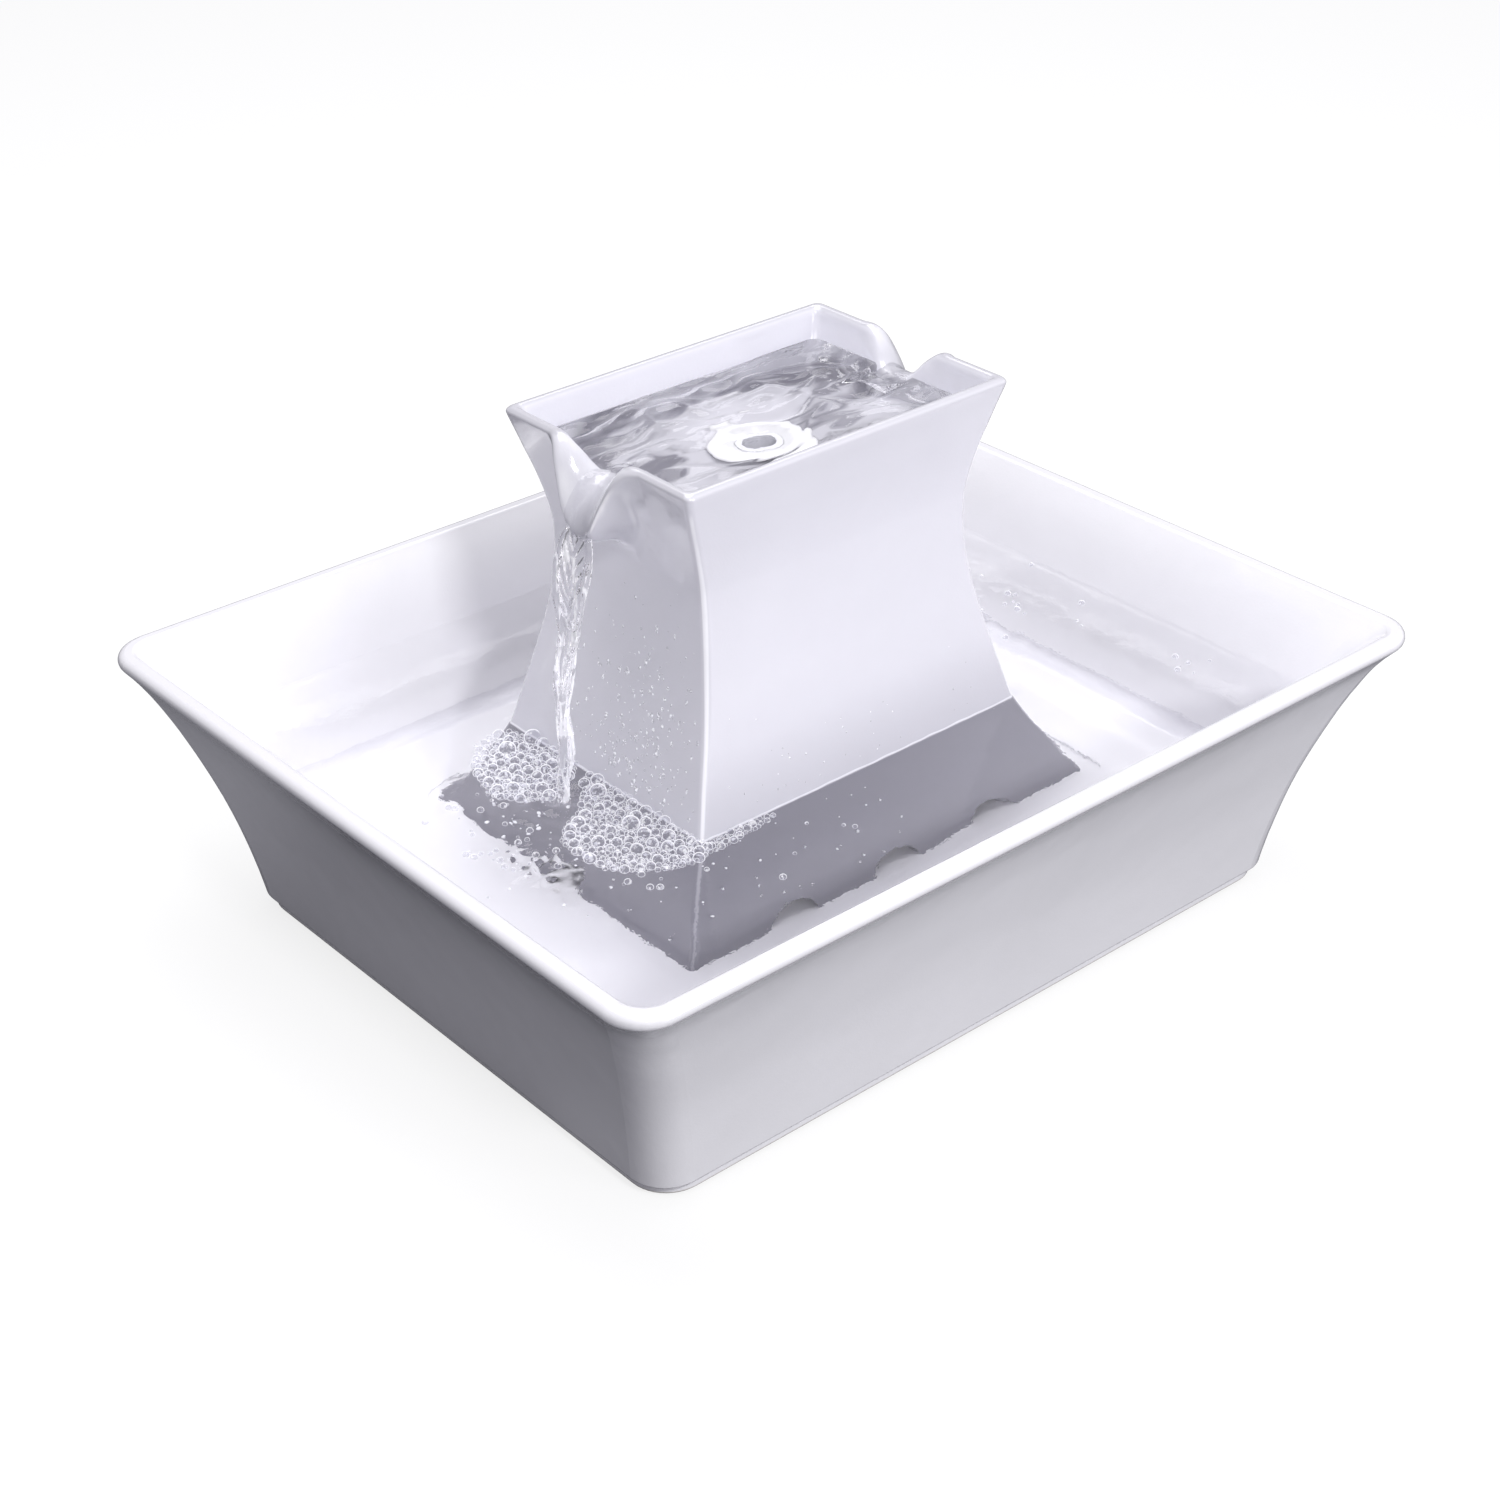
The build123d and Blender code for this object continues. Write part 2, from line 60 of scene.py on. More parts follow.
def set_camera():
    az, el, roll = math.radians(-40.124), math.radians(30.775), math.radians(-0.977)
    back = Vector((math.sin(az) * math.cos(el), -math.cos(az) * math.cos(el), math.sin(el)))
    pos = Vector((-0.015736, -0.012509, 0.060)) + back * 0.78027
    right = (-back).cross(Vector((0, 0, 1))).normalized()
    up = right.cross(-back)
    r = right * math.cos(roll) + up * math.sin(roll)
    u = -right * math.sin(roll) + up * math.cos(roll)
    cam.matrix_world = Matrix(((r.x, u.x, back.x, pos.x), (r.y, u.y, back.y, pos.y),
                               (r.z, u.z, back.z, pos.z), (0, 0, 0, 1)))


set_camera()
scene.view_settings.view_transform = "Standard"
scene.view_settings.look = "None"
scene.view_settings.exposure = 0.0
scene.view_settings.gamma = 1.0
scene.cycles.use_denoising = True
scene.cycles.max_bounces = 16
scene.cycles.transmission_bounces = 14
scene.cycles.transparent_max_bounces = 32
scene.cycles.glossy_bounces = 6
scene.cycles.diffuse_bounces = 4
scene.cycles.caustics_reflective = False
scene.cycles.caustics_refractive = False
scene.cycles.sample_clamp_indirect = 4.0


def area_light(name, pos, target, size, size_y, power, colour=(1, 1, 1)):
    data = bpy.data.lights.new(name, "AREA")
    data.shape = "RECTANGLE"
    data.size = size
    data.size_y = size_y
    data.energy = power
    data.color = colour
    obj = bpy.data.objects.new(name, data)
    scene.collection.objects.link(obj)
    obj.location = pos
    obj.rotation_euler = (Vector(target) - Vector(pos)).to_track_quat("-Z", "Y").to_euler()
    return obj


area_light("overhead_softbox", (0.05, 0.15, 1.20), (0, 0, 0.05), 0.80, 0.70, 7.7, (1.0, 0.995, 1.0))
area_light("key", (-0.325, -0.85, 0.85), (0, 0, 0.06), 0.14, 0.14, 5.6, (0.99, 0.985, 1.0))
area_light("low_softbox", (0.30, -1.25, 0.30), (0, -0.05, 0.05), 0.50, 0.40, 6.5, (0.985, 0.98, 1.0))
area_light("back_strip", (0.48, 0.60, 1.12), (0, 0, 0.12), 0.90, 0.30, 2.4, (1.0, 1.0, 1.0))

world = bpy.data.worlds.new("studio")
scene.world = world
world.use_nodes = True
bg = world.node_tree.nodes["Background"]
bg.inputs["Color"].default_value = (0.80, 0.79, 0.86, 1)
bg.inputs["Strength"].default_value = 0.52


# ================================================================== material helpers
class Mat:
    """A node material with short calls. Lengths in its textures are in object space, metres."""

    def __init__(self, name):
        self.m = bpy.data.materials.new(name)
        self.m.use_nodes = True
        self.t = self.m.node_tree
        self.t.nodes.clear()
        self.out = self.t.nodes.new("ShaderNodeOutputMaterial")
        self.p = self.t.nodes.new("ShaderNodeBsdfPrincipled")
        self.t.links.new(self.p.outputs[0], self.out.inputs["Surface"])
        self.tc = None

    def new(self, kind, **props):
        n = self.t.nodes.new(kind)
        for k, v in props.items():
            setattr(n, k, v)
        return n

    def put(self, sock, v):
        if isinstance(v, bpy.types.NodeSocket):
            self.t.links.new(v, sock)
        elif isinstance(v, (int, float)):
            sock.default_value = v
        elif sock.type == "RGBA" and len(v) == 3:
            sock.default_value = (*v, 1)
        else:
            sock.default_value = v

    def set(self, **kw):
        for k, v in kw.items():
            self.put(self.p.inputs[k.replace("_", " ")], v)
        return self

    def coords(self, what="Object"):
        if self.tc is None:
            self.tc = self.new("ShaderNodeTexCoord")
        return self.tc.outputs[what]

    def geo(self, what):
        return self.new("ShaderNodeNewGeometry").outputs[what]

    def axis(self, which, vector=None):
        s = self.new("ShaderNodeSeparateXYZ")
        self.put(s.inputs[0], vector or self.coords())
        return s.outputs[which]

    def scaled(self, sx, sy, sz):
        n = self.new("ShaderNodeMapping")
        self.put(n.inputs["Vector"], self.coords())
        n.inputs["Scale"].default_value = (sx, sy, sz)
        return n.outputs[0]

    def noise(self, scale, detail=3.0, rough=0.5, distortion=0.0, vector=None):
        n = self.new("ShaderNodeTexNoise")
        n.inputs["Scale"].default_value = scale
        n.inputs["Detail"].default_value = detail
        n.inputs["Roughness"].default_value = rough
        n.inputs["Distortion"].default_value = distortion
        self.put(n.inputs["Vector"], vector or self.coords())
        return n.outputs["Fac"]

    def voronoi(self, scale, feature="F1", vector=None, out="Distance"):
        n = self.new("ShaderNodeTexVoronoi", feature=feature)
        n.inputs["Scale"].default_value = scale
        self.put(n.inputs["Vector"], vector or self.coords())
        return n.outputs[out]

    def map(self, value, a, b, c, d, smooth=False):
        n = self.new("ShaderNodeMapRange")
        n.clamp = True
        if smooth:
            n.interpolation_type = "SMOOTHSTEP"
        self.put(n.inputs[0], value)
        for i, v in enumerate((a, b, c, d)):
            n.inputs[i + 1].default_value = v
        return n.outputs[0]

    def mix(self, fac, a, b, mode="MIX"):
        n = self.new("ShaderNodeMix", data_type="RGBA", blend_type=mode)
        self.put([s for s in n.inputs if s.name == "Factor" and s.type == "VALUE"][0], fac)
        self.put([s for s in n.inputs if s.name == "A" and s.type == "RGBA"][0], a)
        self.put([s for s in n.inputs if s.name == "B" and s.type == "RGBA"][0], b)
        return [s for s in n.outputs if s.type == "RGBA"][0]

    def math(self, op, a, b=0.0):
        n = self.new("ShaderNodeMath", operation=op)
        self.put(n.inputs[0], a)
        self.put(n.inputs[1], b)
        return n.outputs[0]

    def bump(self, height, strength, distance, normal=None):
        n = self.new("ShaderNodeBump")
        n.inputs["Strength"].default_value = strength
        n.inputs["Distance"].default_value = distance
        self.put(n.inputs["Height"], height)
        if normal is not None:
            self.put(n.inputs["Normal"], normal)
        return n.outputs["Normal"]


MAT = {}


def glaze(name, tone, under_water):
    """White gloss glaze over pale stoneware: thickness clouding, pinholes, orange peel, bare clay under the foot, with
    painted shade and painted highlights as marked below.
    """
    m = Mat(name)
    t = np.array(tone)
    m.p.inputs["IOR"].default_value = 1.5
    m.p.inputs["Coat Weight"].default_value = 0.9
    m.p.inputs["Coat Roughness"].default_value = 0.03
    m.p.inputs["Coat IOR"].default_value = 1.5
    pool = m.noise(14.0, 4.0, 0.55, 0.4)
    cloud = m.map(pool, 0.35, 0.7, 0.0, 1.0)
    if under_water:
        # painted shade and light: the glaze is darker toward the foot and lighter toward the top, a gradient by height
        # that stands for how the tower is lit
        run = m.map(m.axis("Z"), 0.0640, 0.1340, 0.0, 1.0, smooth=True)
        col = m.mix(cloud, m.mix(run, tuple(t * 0.90), tuple(t * 1.05)), m.mix(run, tuple(t * 0.86), tuple(t * 1.0)))
    else:
        col = m.mix(cloud, tuple(t), tuple(t * 0.95))
    speck = m.map(m.noise(2600.0, 1.0, 0.4), 0.735, 0.80, 0.0, 0.30)
    col = m.mix(speck, col, tuple(t * 0.8))
    if under_water:
        # painted shade: the wall is darkened where it is seen through water, below the waterline, in the basin and less
        # so in the lips; the short and long faces take different shade tones, the long faces lighter toward +X
        z, x = m.axis("Z"), m.math("ABSOLUTE", m.axis("X"))
        low = m.map(z, 0.0619, 0.0625, 1.0, 0.0)
        high = m.math("MULTIPLY", m.map(z, 0.1330, 0.1370, 0.0, 0.92), m.map(x, 0.0500, 0.0600, 1.0, 0.32))
        lp = m.new("ShaderNodeLightPath")
        underwater_shade_mask = m.math("MULTIPLY", m.map(lp.outputs["Transmission Depth"], 0.0, 1.0, 0.0, 1.0), m.math("MAXIMUM", low, high))
        side = m.map(m.math("ABSOLUTE", m.axis("X", m.geo("Normal"))), 0.3, 0.9, 0.0, 1.0)
        front = m.mix(m.map(m.axis("X"), -0.060, 0.045, 0.0, 1.0), (0.228, 0.224, 0.256), (0.285, 0.28, 0.315))
        underwater_shade_colour = m.mix(side, front, (0.235, 0.23, 0.265))
        # painted light and shade: light and dark folds on the basin floor, seen through water, stand for the water's
        # caustics
        fold = m.noise(1.0, 1.5, 0.5, 0.9, vector=m.scaled(25.0, 62.0, 40.0))
        painted_caustic_light = m.mix(m.map(fold, 0.38, 0.60, 0.0, 1.0, smooth=True), (0.17, 0.165, 0.195), (0.58, 0.575, 0.61))
        # painted light: a pale patch over the boil above the outlet
        bx = m.math("DIVIDE", m.math("SUBTRACT", m.axis("X"), 0.008), 0.019)
        by = m.math("DIVIDE", m.math("SUBTRACT", m.axis("Y"), 0.016), 0.0085)
        boil = m.math("ADD", m.math("MULTIPLY", bx, bx), m.math("MULTIPLY", by, by))
        painted_caustic_light = m.mix(m.map(boil, 0.25, 1.5, 0.42, 0.0, smooth=True), painted_caustic_light, (0.80, 0.79, 0.83))
        underwater_shade_colour = m.mix(m.map(z, 0.1340, 0.1360, 0.0, 1.0), underwater_shade_colour, painted_caustic_light)
        col = m.mix(underwater_shade_mask, col, underwater_shade_colour)
        # painted highlights: a bright line over the upright corners, light grey where seen through water, and a thin
        # bright line where the water climbs the wall
        nx, ny = (m.math("ABSOLUTE", m.axis(a, m.geo("Normal"))) for a in "XY")
        painted_corner_highlight = m.map(m.math("MULTIPLY", nx, ny), 0.34, 0.45, 0.0, 1.0, smooth=True)
        painted_corner_highlight = m.math("MULTIPLY", painted_corner_highlight, m.map(z, 0.1560, 0.1600, 0.85, 0.0, smooth=True))
        col = m.mix(painted_corner_highlight, col, m.mix(underwater_shade_mask, (0.93, 0.93, 0.95), (0.47, 0.465, 0.50)))
        wave = m.math("MULTIPLY", m.math("SUBTRACT", m.noise(130.0, 1.0, 0.4), 0.5), 0.0009)
        h = m.math("SUBTRACT", m.axis("Z", m.geo("Position")), wave)
        painted_waterline_highlight = m.math("MULTIPLY", m.map(h, 0.0621, 0.0625, 0.0, 0.9, smooth=True), m.map(h, 0.0629, 0.0633, 1.0, 0.0, smooth=True))
        col = m.mix(painted_waterline_highlight, col, (0.95, 0.95, 0.97))
    else:
        # painted light: the dish's upright walls are lightened where they are seen through water, more toward the back
        painted_light_under_water = m.new("ShaderNodeLightPath")
        upright = m.map(m.axis("Z", m.geo("Normal")), 0.75, 0.95, 1.0, 0.0, smooth=True)
        far = m.map(m.axis("Y"), -0.095, 0.0, 0.25, 1.0)
        painted_light_under_water = m.math("MULTIPLY", m.map(painted_light_under_water.outputs["Transmission Depth"], 0.0, 1.0, 0.0, 1.0), m.math("MULTIPLY", upright, far))
        col = m.mix(painted_light_under_water, col, (0.965, 0.96, 0.975))
    # painted shade: a thin band at the top of the rim is darker, more so on the tower
    z = m.axis("Z")
    top = 0.1650 if under_water else 0.0867
    rim = (0.84, 0.838, 0.845) if under_water else (0.92, 0.918, 0.925)
    col = m.mix(m.map(z, top - 0.0010, top - 0.0002, 0.0, 1.0, smooth=True), col, tuple(t * rim))
    bare = m.map(z, 0.0011, 0.0019, 1.0, 0.0, smooth=True)
    col = m.mix(bare, col, (0.60, 0.56, 0.50))
    m.put(m.p.inputs["Base Color"], col)
    rough = m.math("ADD", m.map(pool, 0.3, 0.75, 0.09, 0.16), m.math("MULTIPLY", bare, 0.6))
    m.put(m.p.inputs["Roughness"], rough)
    n1 = m.bump(m.noise(60.0, 2.0, 0.45), 0.22, 0.0008)
    n2 = m.bump(m.noise(1300.0, 2.0, 0.55), 0.16, 0.0002, n1)
    m.put(m.p.inputs["Normal"], n2)
    return m.m


MAT["glaze_dish"] = glaze("glaze_dish", (0.90, 0.895, 0.92), False)
# painted shade: the tower takes the dish's white glaze at a darker tone, standing for the light its faces get
MAT["glaze_tower"] = glaze("glaze_tower", (0.695, 0.69, 0.735), True)


def water(name, tint=(0.985, 0.985, 0.997), light=(0.965, 0.965, 0.98), white=0.0):
    m = Mat(name)
    m.set(Base_Color=tint, Roughness=0.0, IOR=1.333)
    m.p.inputs["Transmission Weight"].default_value = 1.0
    m.put(m.p.inputs["Normal"], m.bump(m.noise(420.0, 2.0, 0.5, 0.6), 0.10, 0.0006))
    body = m.p.outputs[0]
    if white:
        # white streaks that run along the fall, partly air drawn into the falling water and partly painted highlight
        fine = m.noise(1.0, 1.0, 0.5, 1.0, vector=m.scaled(430.0, 430.0, 85.0))
        wide = m.noise(1.0, 1.0, 0.5, 0.6, vector=m.scaled(210.0, 210.0, 34.0))
        below = m.map(m.axis("Z"), 0.1345, 0.1420, 1.0, 0.12, smooth=True)
        streak = m.math("MULTIPLY", m.map(m.math("MULTIPLY", fine, wide), 0.272, 0.315, 0.0, white, smooth=True), below)
        # painted highlight: white on the sides of the sheet seen edge on
        lw = m.new("ShaderNodeLayerWeight")
        lw.inputs["Blend"].default_value = 0.5
        rim = m.math("MULTIPLY", m.map(lw.outputs["Facing"], 0.74, 0.95, 0.0, 0.55 * white, smooth=True), below)
        # the white froth glows slightly: painted light
        froth_with_painted_glow = m.new("ShaderNodeBsdfPrincipled")
        froth_with_painted_glow.inputs["Base Color"].default_value = (0.97, 0.97, 0.98, 1)
        froth_with_painted_glow.inputs["Roughness"].default_value = 0.12
        froth_with_painted_glow.inputs["Emission Color"].default_value = (1, 1, 1, 1)
        froth_with_painted_glow.inputs["Emission Strength"].default_value = 0.18
        both = m.new("ShaderNodeMixShader")
        m.put(both.inputs[0], m.math("MAXIMUM", streak, rim))
        m.put(both.inputs[1], body)
        m.put(both.inputs[2], froth_with_painted_glow.outputs[0])
        body = both.outputs[0]
    lp = m.new("ShaderNodeLightPath")
    clear = m.new("ShaderNodeBsdfTransparent")
    clear.inputs["Color"].default_value = (*light, 1)
    mix = m.new("ShaderNodeMixShader")
    m.put(mix.inputs[0], m.math("MAXIMUM", lp.outputs["Is Shadow Ray"], lp.outputs["Is Diffuse Ray"]))
    m.put(mix.inputs[1], body)
    m.put(mix.inputs[2], clear.outputs[0])
    m.put(m.out.inputs["Surface"], mix.outputs[0])
    return m.m


MAT["water"] = water("water")
MAT["water_falling"] = water("water_falling", (0.985, 0.985, 0.995), (0.95, 0.95, 0.965), 0.56)
# painted highlight: the drops are clear in patches and white with a slight glow elsewhere, standing for their glints
drop = Mat("water_drops")
drop.set(Base_Color=(0.93, 0.93, 0.96), Roughness=0.05, IOR=1.333)
drop.p.inputs["Specular IOR Level"].default_value = 0.9
drop.p.inputs["Emission Color"].default_value = (1, 1, 1, 1)
drop.p.inputs["Emission Strength"].default_value = 0.08
drop_lw = drop.new("ShaderNodeLayerWeight")
drop_lw.inputs["Blend"].default_value = 0.5
drop_clear = drop.new("ShaderNodeBsdfTransparent")
drop_clear.inputs["Color"].default_value = (0.90, 0.90, 0.91, 1)
drop_mix = drop.new("ShaderNodeMixShader")
drop.put(drop_mix.inputs[0], drop.map(drop.noise(1400.0, 1.0), 0.40, 0.62, 0.15, 0.95))
drop.put(drop_mix.inputs[1], drop_clear.outputs[0])
drop.put(drop_mix.inputs[2], drop.p.outputs[0])
drop.put(drop.out.inputs["Surface"], drop_mix.outputs[0])
MAT["droplets"] = drop.m


def bubble_film():
    """Soap-thin dome: clear in the middle, with painted highlights, white where it is seen edge on and in flecks, and a
    slight painted glow.
    """
    m = Mat("bubble_film")
    m.set(Base_Color=(0.97, 0.97, 0.99), Roughness=0.10, IOR=1.33)
    m.p.inputs["Specular IOR Level"].default_value = 0.8
    m.p.inputs["Emission Color"].default_value = (1, 1, 1, 1)
    m.p.inputs["Emission Strength"].default_value = 0.16
    lw = m.new("ShaderNodeLayerWeight")
    lw.inputs["Blend"].default_value = 0.42
    edge = m.map(lw.outputs["Facing"], 0.30, 0.66, 0.05, 1.0, smooth=True)
    streak = m.map(m.noise(700.0, 2.0, 0.5), 0.54, 0.66, 0.0, 0.55)
    clear = m.new("ShaderNodeBsdfTransparent")
    clear.inputs["Color"].default_value = (0.90, 0.90, 0.92, 1)
    mix = m.new("ShaderNodeMixShader")
    m.put(mix.inputs[0], m.math("MAXIMUM", edge, streak))
    m.put(mix.inputs[1], clear.outputs[0])
    m.put(mix.inputs[2], m.p.outputs[0])
    m.put(m.out.inputs["Surface"], mix.outputs[0])
    return m.m


MAT["bubble"] = bubble_film()

# painted reflection: the air beads are opaque white, standing for the bright look of air under water
bead = Mat("air_bead")
bead.set(Base_Color=(0.94, 0.94, 0.97), Roughness=0.15)
bead.put(bead.p.inputs["Normal"], bead.bump(bead.noise(1500.0, 1.0), 0.2, 0.0002))
MAT["bead"] = bead.m


def plastic(name, colour, rough, texture=1800.0, strength=0.25, scale_marks=0.0, wear=0.0, trans=0.0):
    """Moulded plastic or rubber: tone drift, spark-erosion texture, dried water marks and rubbed patches."""
    m = Mat(name)
    c = np.array(colour)
    drift = m.noise(35.0, 3.0, 0.5, 0.3)
    col = m.mix(m.map(drift, 0.35, 0.65, 0.0, 1.0), tuple(c * 0.90), tuple(np.minimum(c * 1.08 + 0.004, 1.0)))
    if scale_marks:
        marks = m.map(m.noise(140.0, 5.0, 0.65, 0.8), 0.56, 0.70, 0.0, scale_marks)
        col = m.mix(marks, col, (0.62, 0.62, 0.60))
    else:
        marks = 0.0
    if wear:
        rub = m.map(m.noise(260.0, 4.0, 0.7), 0.60, 0.72, 0.0, wear)
        col = m.mix(rub, col, tuple(np.minimum(c * 1.6 + 0.05, 1.0)))
    m.put(m.p.inputs["Base Color"], col)
    m.put(m.p.inputs["Roughness"], m.map(m.noise(90.0, 4.0, 0.6), 0.3, 0.7, rough * 0.8, min(1.0, rough * 1.2)))
    m.put(m.p.inputs["Normal"], m.bump(m.noise(texture, 2.0, 0.5), strength, 0.0002))
    if trans:
        m.p.inputs["Transmission Weight"].default_value = trans
        m.p.inputs["IOR"].default_value = 1.45
    return m.m


MAT["foot_pads"] = plastic("silicone_pads", (0.58, 0.58, 0.60), 0.55, 900.0, 0.2, 0.15)
MAT["outlet_collar"] = plastic("silicone_collar", (0.93, 0.93, 0.93), 0.35, 700.0, 0.1)
MAT["riser_tube"] = plastic("silicone_tube", (0.80, 0.80, 0.83), 0.30, 600.0, 0.1, 0.1)
MAT["pump_body"] = plastic("pump_shell", (0.028, 0.028, 0.032), 0.42, 2400.0, 0.45, 0.18, 0.3)
MAT["volute"] = plastic("volute_plastic", (0.035, 0.035, 0.040), 0.38, 2400.0, 0.35, 0.22, 0.3)
MAT["intake_cover"] = plastic("cover_plastic", (0.040, 0.041, 0.046), 0.40, 2400.0, 0.4, 0.25, 0.3)
MAT["volute_seal"] = plastic("seal_rubber", (0.02, 0.02, 0.02), 0.65, 1200.0, 0.2)
MAT["rear_bush"] = plastic("rear_bush_rubber", (0.03, 0.03, 0.03), 0.6, 1200.0, 0.2)
MAT["front_bush"] = plastic("front_bush_rubber", (0.03, 0.03, 0.03), 0.6, 1200.0, 0.2)
MAT["suction_cups"] = plastic("cup_rubber", (0.05, 0.05, 0.055), 0.35, 800.0, 0.12, 0.12)
MAT["cable_gland"] = plastic("gland_rubber", (0.022, 0.022, 0.024), 0.6, 1300.0, 0.3)
MAT["filter_box"] = plastic("filter_box_plastic", (0.80, 0.82, 0.83), 0.36, 1600.0, 0.25, 0.2)
MAT["impeller"] = plastic("impeller_plastic", (0.78, 0.79, 0.79), 0.4, 1500.0, 0.2, 0.25)
MAT["flow_regulator"] = plastic("regulator_plastic", (0.27, 0.34, 0.42), 0.38, 2000.0, 0.35, 0.15, 0.25)
MAT["carbon_frame"] = plastic("cassette_plastic", (0.86, 0.87, 0.88), 0.42, 1800.0, 0.3, 0.1)
MAT["coil_bobbin"] = plastic("bobbin_nylon", (0.74, 0.71, 0.62), 0.45, 1600.0, 0.25)


def resin():
    m = Mat("potting_resin")
    m.set(Base_Color=m.mix(m.map(m.noise(60.0, 3.0), 0.4, 0.6, 0, 1), (0.012, 0.012, 0.014), (0.03, 0.03, 0.034)))
    m.put(m.p.inputs["Roughness"], m.map(m.noise(200.0, 3.0), 0.3, 0.7, 0.08, 0.22))
    m.put(m.p.inputs["Normal"], m.bump(m.noise(110.0, 1.5, 0.4), 0.35, 0.0008))
    return m.m


def laminations():
    m = Mat("stator_steel")
    x = m.axis("X")
    lines = m.math("FRACT", m.math("MULTIPLY", x, 2000.0))
    gap = m.map(lines, 0.0, 0.16, 1.0, 0.0, smooth=True)
    rust = m.map(m.noise(180.0, 5.0, 0.7), 0.55, 0.72, 0.0, 0.7)
    col = m.mix(rust, (0.34, 0.34, 0.36), (0.30, 0.15, 0.07))
    m.set(Base_Color=m.mix(gap, col, (0.05, 0.045, 0.04)), Metallic=0.75)
    m.put(m.p.inputs["Roughness"], m.map(rust, 0.0, 0.7, 0.38, 0.8))
    m.put(m.p.inputs["Normal"], m.bump(gap, 0.6, -0.0002))
    return m.m


def winding():
    m = Mat("copper_winding")
    y = m.axis("Y")
    t = m.math("FRACT", m.math("MULTIPLY", y, 2600.0))
    round_ = m.math("SUBTRACT", 1.0, m.math("POWER", m.math("ABSOLUTE", m.math("SUBTRACT", m.math("MULTIPLY", t, 2.0), 1.0)), 2.0))
    tone = m.noise(300.0, 2.0)
    col = m.mix(m.map(tone, 0.35, 0.65, 0, 1), (0.52, 0.17, 0.055), (0.70, 0.28, 0.10))
    # painted shade: the copper darkens in the grooves between turns
    m.set(Base_Color=m.mix(m.map(round_, 0.0, 0.5, 1.0, 0.0), col, (0.10, 0.03, 0.01)), Metallic=0.85, Roughness=0.28)
    m.p.inputs["Coat Weight"].default_value = 0.5
    m.put(m.p.inputs["Normal"], m.bump(round_, 0.8, 0.0003))
    return m.m


def steel():
    m = Mat("shaft_steel")
    fine = m.noise(1.0, 3.0, 0.6, vector=m.scaled(2500.0, 300.0, 300.0))
    m.set(Base_Color=m.mix(fine, (0.55, 0.55, 0.56), (0.78, 0.78, 0.78)), Metallic=1.0)
    m.put(m.p.inputs["Roughness"], m.map(fine, 0.3, 0.7, 0.10, 0.26))
    m.put(m.p.inputs["Normal"], m.bump(fine, 0.15, 0.00005))
    return m.m


def ferrite():
    m = Mat("magnet_ferrite")
    g = m.noise(700.0, 4.0, 0.65)
    m.set(Base_Color=m.mix(g, (0.06, 0.055, 0.055), (0.15, 0.14, 0.14)))
    m.put(m.p.inputs["Roughness"], m.map(g, 0.3, 0.7, 0.35, 0.6))
    m.put(m.p.inputs["Normal"], m.bump(m.noise(1600.0, 3.0, 0.6), 0.4, 0.0002))
    return m.m


def fleece(name, colour):
    m = Mat(name)
    a = m.noise(1.0, 3.0, 0.6, 1.2, vector=m.scaled(500.0, 2600.0, 700.0))
    b = m.noise(1.0, 3.0, 0.6, 1.2, vector=m.scaled(500.0, 700.0, 2600.0))
    f = m.math("MAXIMUM", a, b)
    c = np.array(colour)
    m.set(Base_Color=m.mix(m.map(f, 0.45, 0.65, 0, 1), tuple(c * 0.72), tuple(c)), Roughness=0.9)
    m.p.inputs["Sheen Weight"].default_value = 0.25
    m.put(m.p.inputs["Normal"], m.bump(f, 0.8, 0.0004))
    return m.m


def carbon():
    m = Mat("carbon_granules")
    v = m.voronoi(650.0)
    cell = m.voronoi(650.0, out="Color")
    col = m.mix(m.axis("X", cell), (0.008, 0.008, 0.009), (0.045, 0.045, 0.048))
    # painted shade: darker toward the cell borders, which the bump sinks
    m.set(Base_Color=m.mix(m.map(v, 0.35, 0.6, 0.0, 1.0), col, (0.003, 0.003, 0.003)))
    m.put(m.p.inputs["Roughness"], m.map(m.axis("Y", cell), 0, 1, 0.35, 0.75))
    m.put(m.p.inputs["Normal"], m.bump(v, 1.0, -0.0012))
    return m.m


def foam_mat():
    m = Mat("reticulated_foam")
    v = m.voronoi(900.0)
    tone = m.noise(60.0, 3.0)
    col = m.mix(m.map(tone, 0.35, 0.65, 0, 1), (0.055, 0.065, 0.075), (0.10, 0.115, 0.13))
    # painted shade: the cell centres, the open pores, are dark
    m.set(Base_Color=m.mix(m.map(v, 0.15, 0.55, 1.0, 0.0), col, (0.008, 0.009, 0.01)), Roughness=0.92)
    m.p.inputs["Sheen Weight"].default_value = 0.15
    m.put(m.p.inputs["Normal"], m.bump(v, 1.0, 0.0010))
    return m.m


MAT["potting_block"] = resin()
MAT["stator_core"] = laminations()
MAT["coil_winding"] = winding()
MAT["impeller_shaft"] = steel()
MAT["rotor_magnet"] = ferrite()
MAT["carbon_screens"] = fleece("screen_fleece", (0.80, 0.81, 0.80))
MAT["carbon_granules"] = carbon()
MAT["foam_filter"] = foam_mat()
for name, obj in nodes.items():
    key = {"dish": "glaze_dish", "tower": "glaze_tower"}.get(name, name)
    for i in range(len(obj.data.materials)):
        obj.data.materials[i] = MAT[key]


# ================================================================== mesh helpers
def add_mesh(name, verts, faces, material, smooth=True):
    me = bpy.data.meshes.new(name)
    me.from_pydata([tuple(float(c) for c in v) for v in verts], [], faces)
    me.update()
    if smooth:
        me.shade_smooth()
    me.materials.append(material)
    obj = bpy.data.objects.new(name, me)
    scene.collection.objects.link(obj)
    return obj


